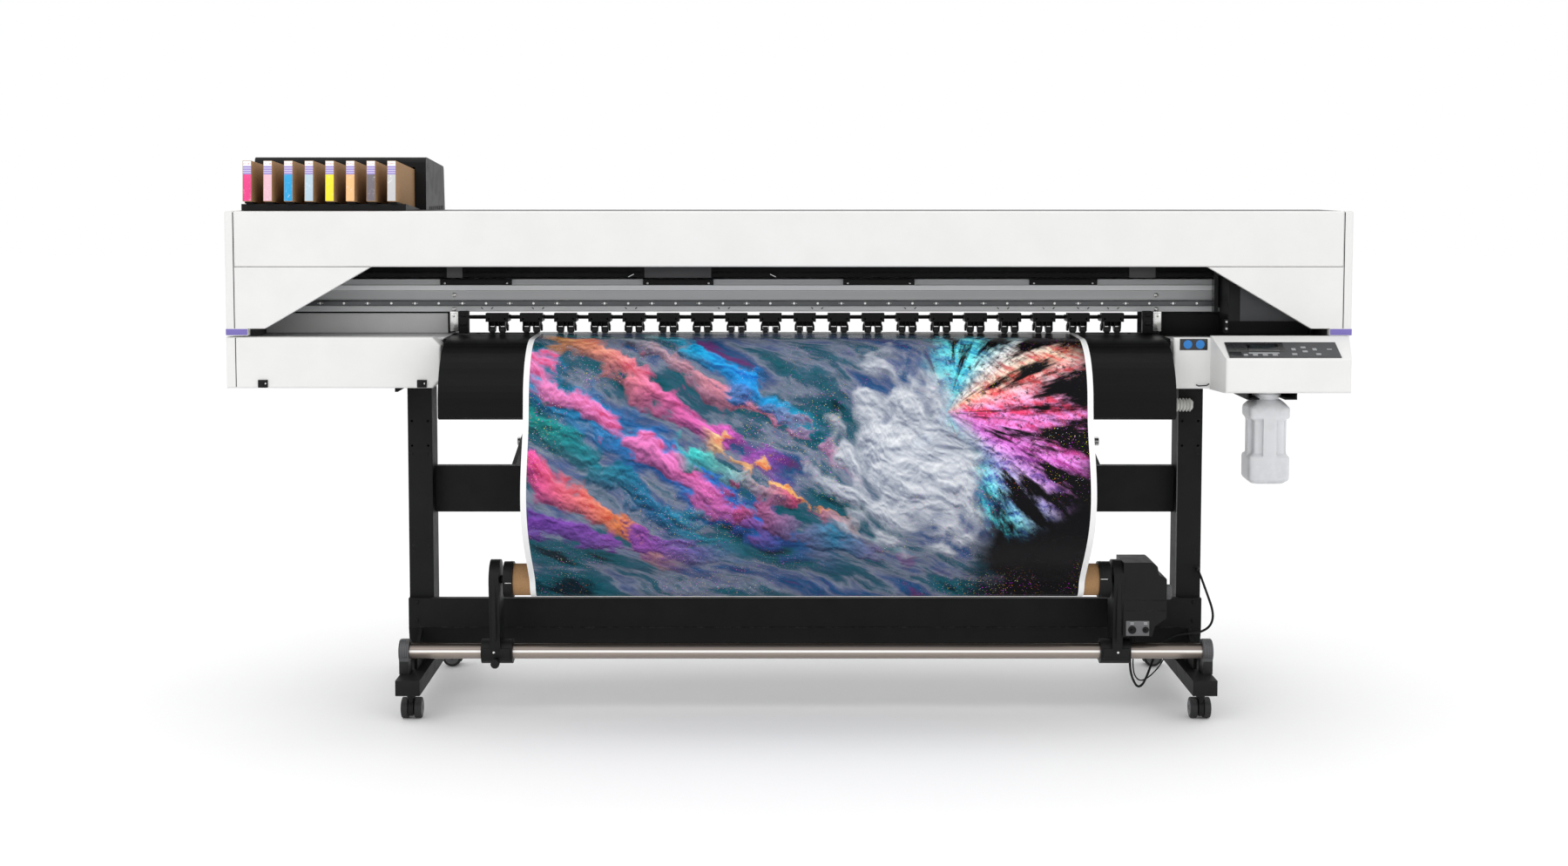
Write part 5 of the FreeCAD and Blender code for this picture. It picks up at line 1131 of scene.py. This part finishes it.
# back: louvres, screws, seams, the mains inlet and two sockets, and the slots of the ink housing
rearLook = {"ventX": (-1.18, 1.18), "ventZ": (1.06, 1.19), "ventRows": 9, "ventHalf": 0.10,
            "screwX": (-1.33, 1.33, 11), "screwZ": (1.222, 0.842), "towerX": 1.0, "seams": (-0.935, 0.995),
            "screw": [(0, 0.0045), (0.0012, 0.0046), (0.0028, 0.0036), (0.0034, 0.0016), (0.0020, 0.0010),
                      (0.0020, 0.0001)],
            "inlet": [((1.250, 0.3785, 0.880), (1.300, 0.3835, 0.915), 0.002, "x", 3),
                      ((1.180, 0.3785, 0.884), (1.205, 0.3825, 0.911), 0.001, "x", 2),
                      ((1.145, 0.3785, 0.888), (1.163, 0.3825, 0.906), 0.001, "x", 2)],
            "pins": ((1.264, 0.893), (1.286, 0.893), (1.275, 0.903)), "slotY": (0.120, 0.330, 9)}
blocks("rearLouvres", "seam_dark",
       [((x - rearLook["ventHalf"], 0.3790, z), (x + rearLook["ventHalf"], 0.3812, z + 0.0055), 0.0012, "x", 2)
        for x in rearLook["ventX"] for z in np.linspace(*rearLook["ventZ"], rearLook["ventRows"])],
       slot="frame_black")
high, low = rearLook["screwZ"]
piece("rearScrews", [turned(rearLook["screw"], (x, 0.3800, z), "y", 16)
                     for x in np.linspace(*rearLook["screwX"]) for z in (high, low)
                     if z == high or abs(x) > rearLook["towerX"]], [finish["screw_steel"]], slot="steel_bright")
blocks("rearSeams", "seam_dark", boxesAt(spansAt(rearLook["seams"], 0.0009), (0.3792, 0.832),
                                         (0.3803, 1.232), 0.0003, "z", 1), slot="cover_white")
blocks("mainsInlet", "plastic_black", rearLook["inlet"])
blocks("mainsInletPins", "seam_dark",
       [((x - 0.0032, 0.3834, z - 0.001), (x + 0.0032, 0.3840, z + 0.001), 0.0003, "x", 1)
        for x, z in rearLook["pins"]], slot="steel_bright")
blocks("inkHousingSlots", "seam_dark", [((-0.9350, y, 1.245), (-0.9332, y + 0.012, 1.268), 0.0008, "z", 1)
                                        for y in np.linspace(*rearLook["slotY"])], slot="plastic_black")
print("back details made")

# floor, white room and soft lights
floorLook = {"size": 30.0, "colour": (0.93, 0.93, 0.93)}
floorMaterial, floorTree, floorPlace = openMaterial("paleFloor")
floorTone = blendColour(floorTree, noiseOf(floorTree, floorPlace, 3.0, 2.0), floorLook["colour"] + (1,),
                        (0.915, 0.915, 0.92, 1))
closeMaterial(floorTree, {"specular": 0.05}, floorTone, 0.9, put(floorTree, "ShaderNodeNewGeometry").outputs[1])
half = floorLook["size"]
floorMesh = bpy.data.meshes.new("paleFloor")
floorMesh.from_pydata([(-half, -half, 0), (half, -half, 0), (half, half, 0), (-half, half, 0)], [], [(0, 1, 2, 3)])
floorMesh.materials.append(floorMaterial)
floor = bpy.data.objects.new("paleFloor", floorMesh)
scene.collection.objects.link(floor)

world = bpy.data.worlds.new("whiteRoom")
scene.world = world
world.use_nodes = True
world.node_tree.nodes.clear()
sky = put(world.node_tree, "ShaderNodeTexCoord").outputs["Generated"]
height = put(world.node_tree, "ShaderNodeSeparateXYZ", {0: sky}).outputs["Z"]
glow = stepOf(world.node_tree, height, -0.2, 0.9, 1.02, 1.12)
seen = put(world.node_tree, "ShaderNodeLightPath").outputs["Is Camera Ray"]
strength = calc(world.node_tree, "MULTIPLY_ADD", seen, calc(world.node_tree, "SUBTRACT", 1.0, glow), glow)
room = put(world.node_tree, "ShaderNodeBackground", {0: (1, 1, 1, 1), 1: strength})
put(world.node_tree, "ShaderNodeOutputWorld", {0: room.outputs[0]})

lamps = {"keyLamp": {"place": (-2.6, -4.2, 4.2), "aim": (0, 0, 0.8), "size": 3.0, "power": 34.0},
         "fillLamp": {"place": (3.2, -3.6, 3.0), "aim": (0, 0, 0.8), "size": 2.6, "power": 12.0},
         "topLamp": {"place": (0, 0.6, 4.6), "aim": (0, 0, 0), "size": 4.0, "power": 20.0}}
for name, lamp in lamps.items():
    light = bpy.data.lights.new(name, "AREA")
    light.size = lamp["size"]
    light.energy = lamp["power"]
    made = bpy.data.objects.new(name, light)
    made.location = lamp["place"]
    towards = np.array(lamp["aim"], float) - np.array(lamp["place"], float)
    yaw, flat = math.atan2(towards[1], towards[0]), math.hypot(towards[0], towards[1])
    made.rotation_euler = (math.atan2(flat, -towards[2]), 0, yaw - math.pi / 2)
    scene.collection.objects.link(made)
scene.view_settings.view_transform = "Standard"
scene.view_settings.look = "None"
print("room lit")
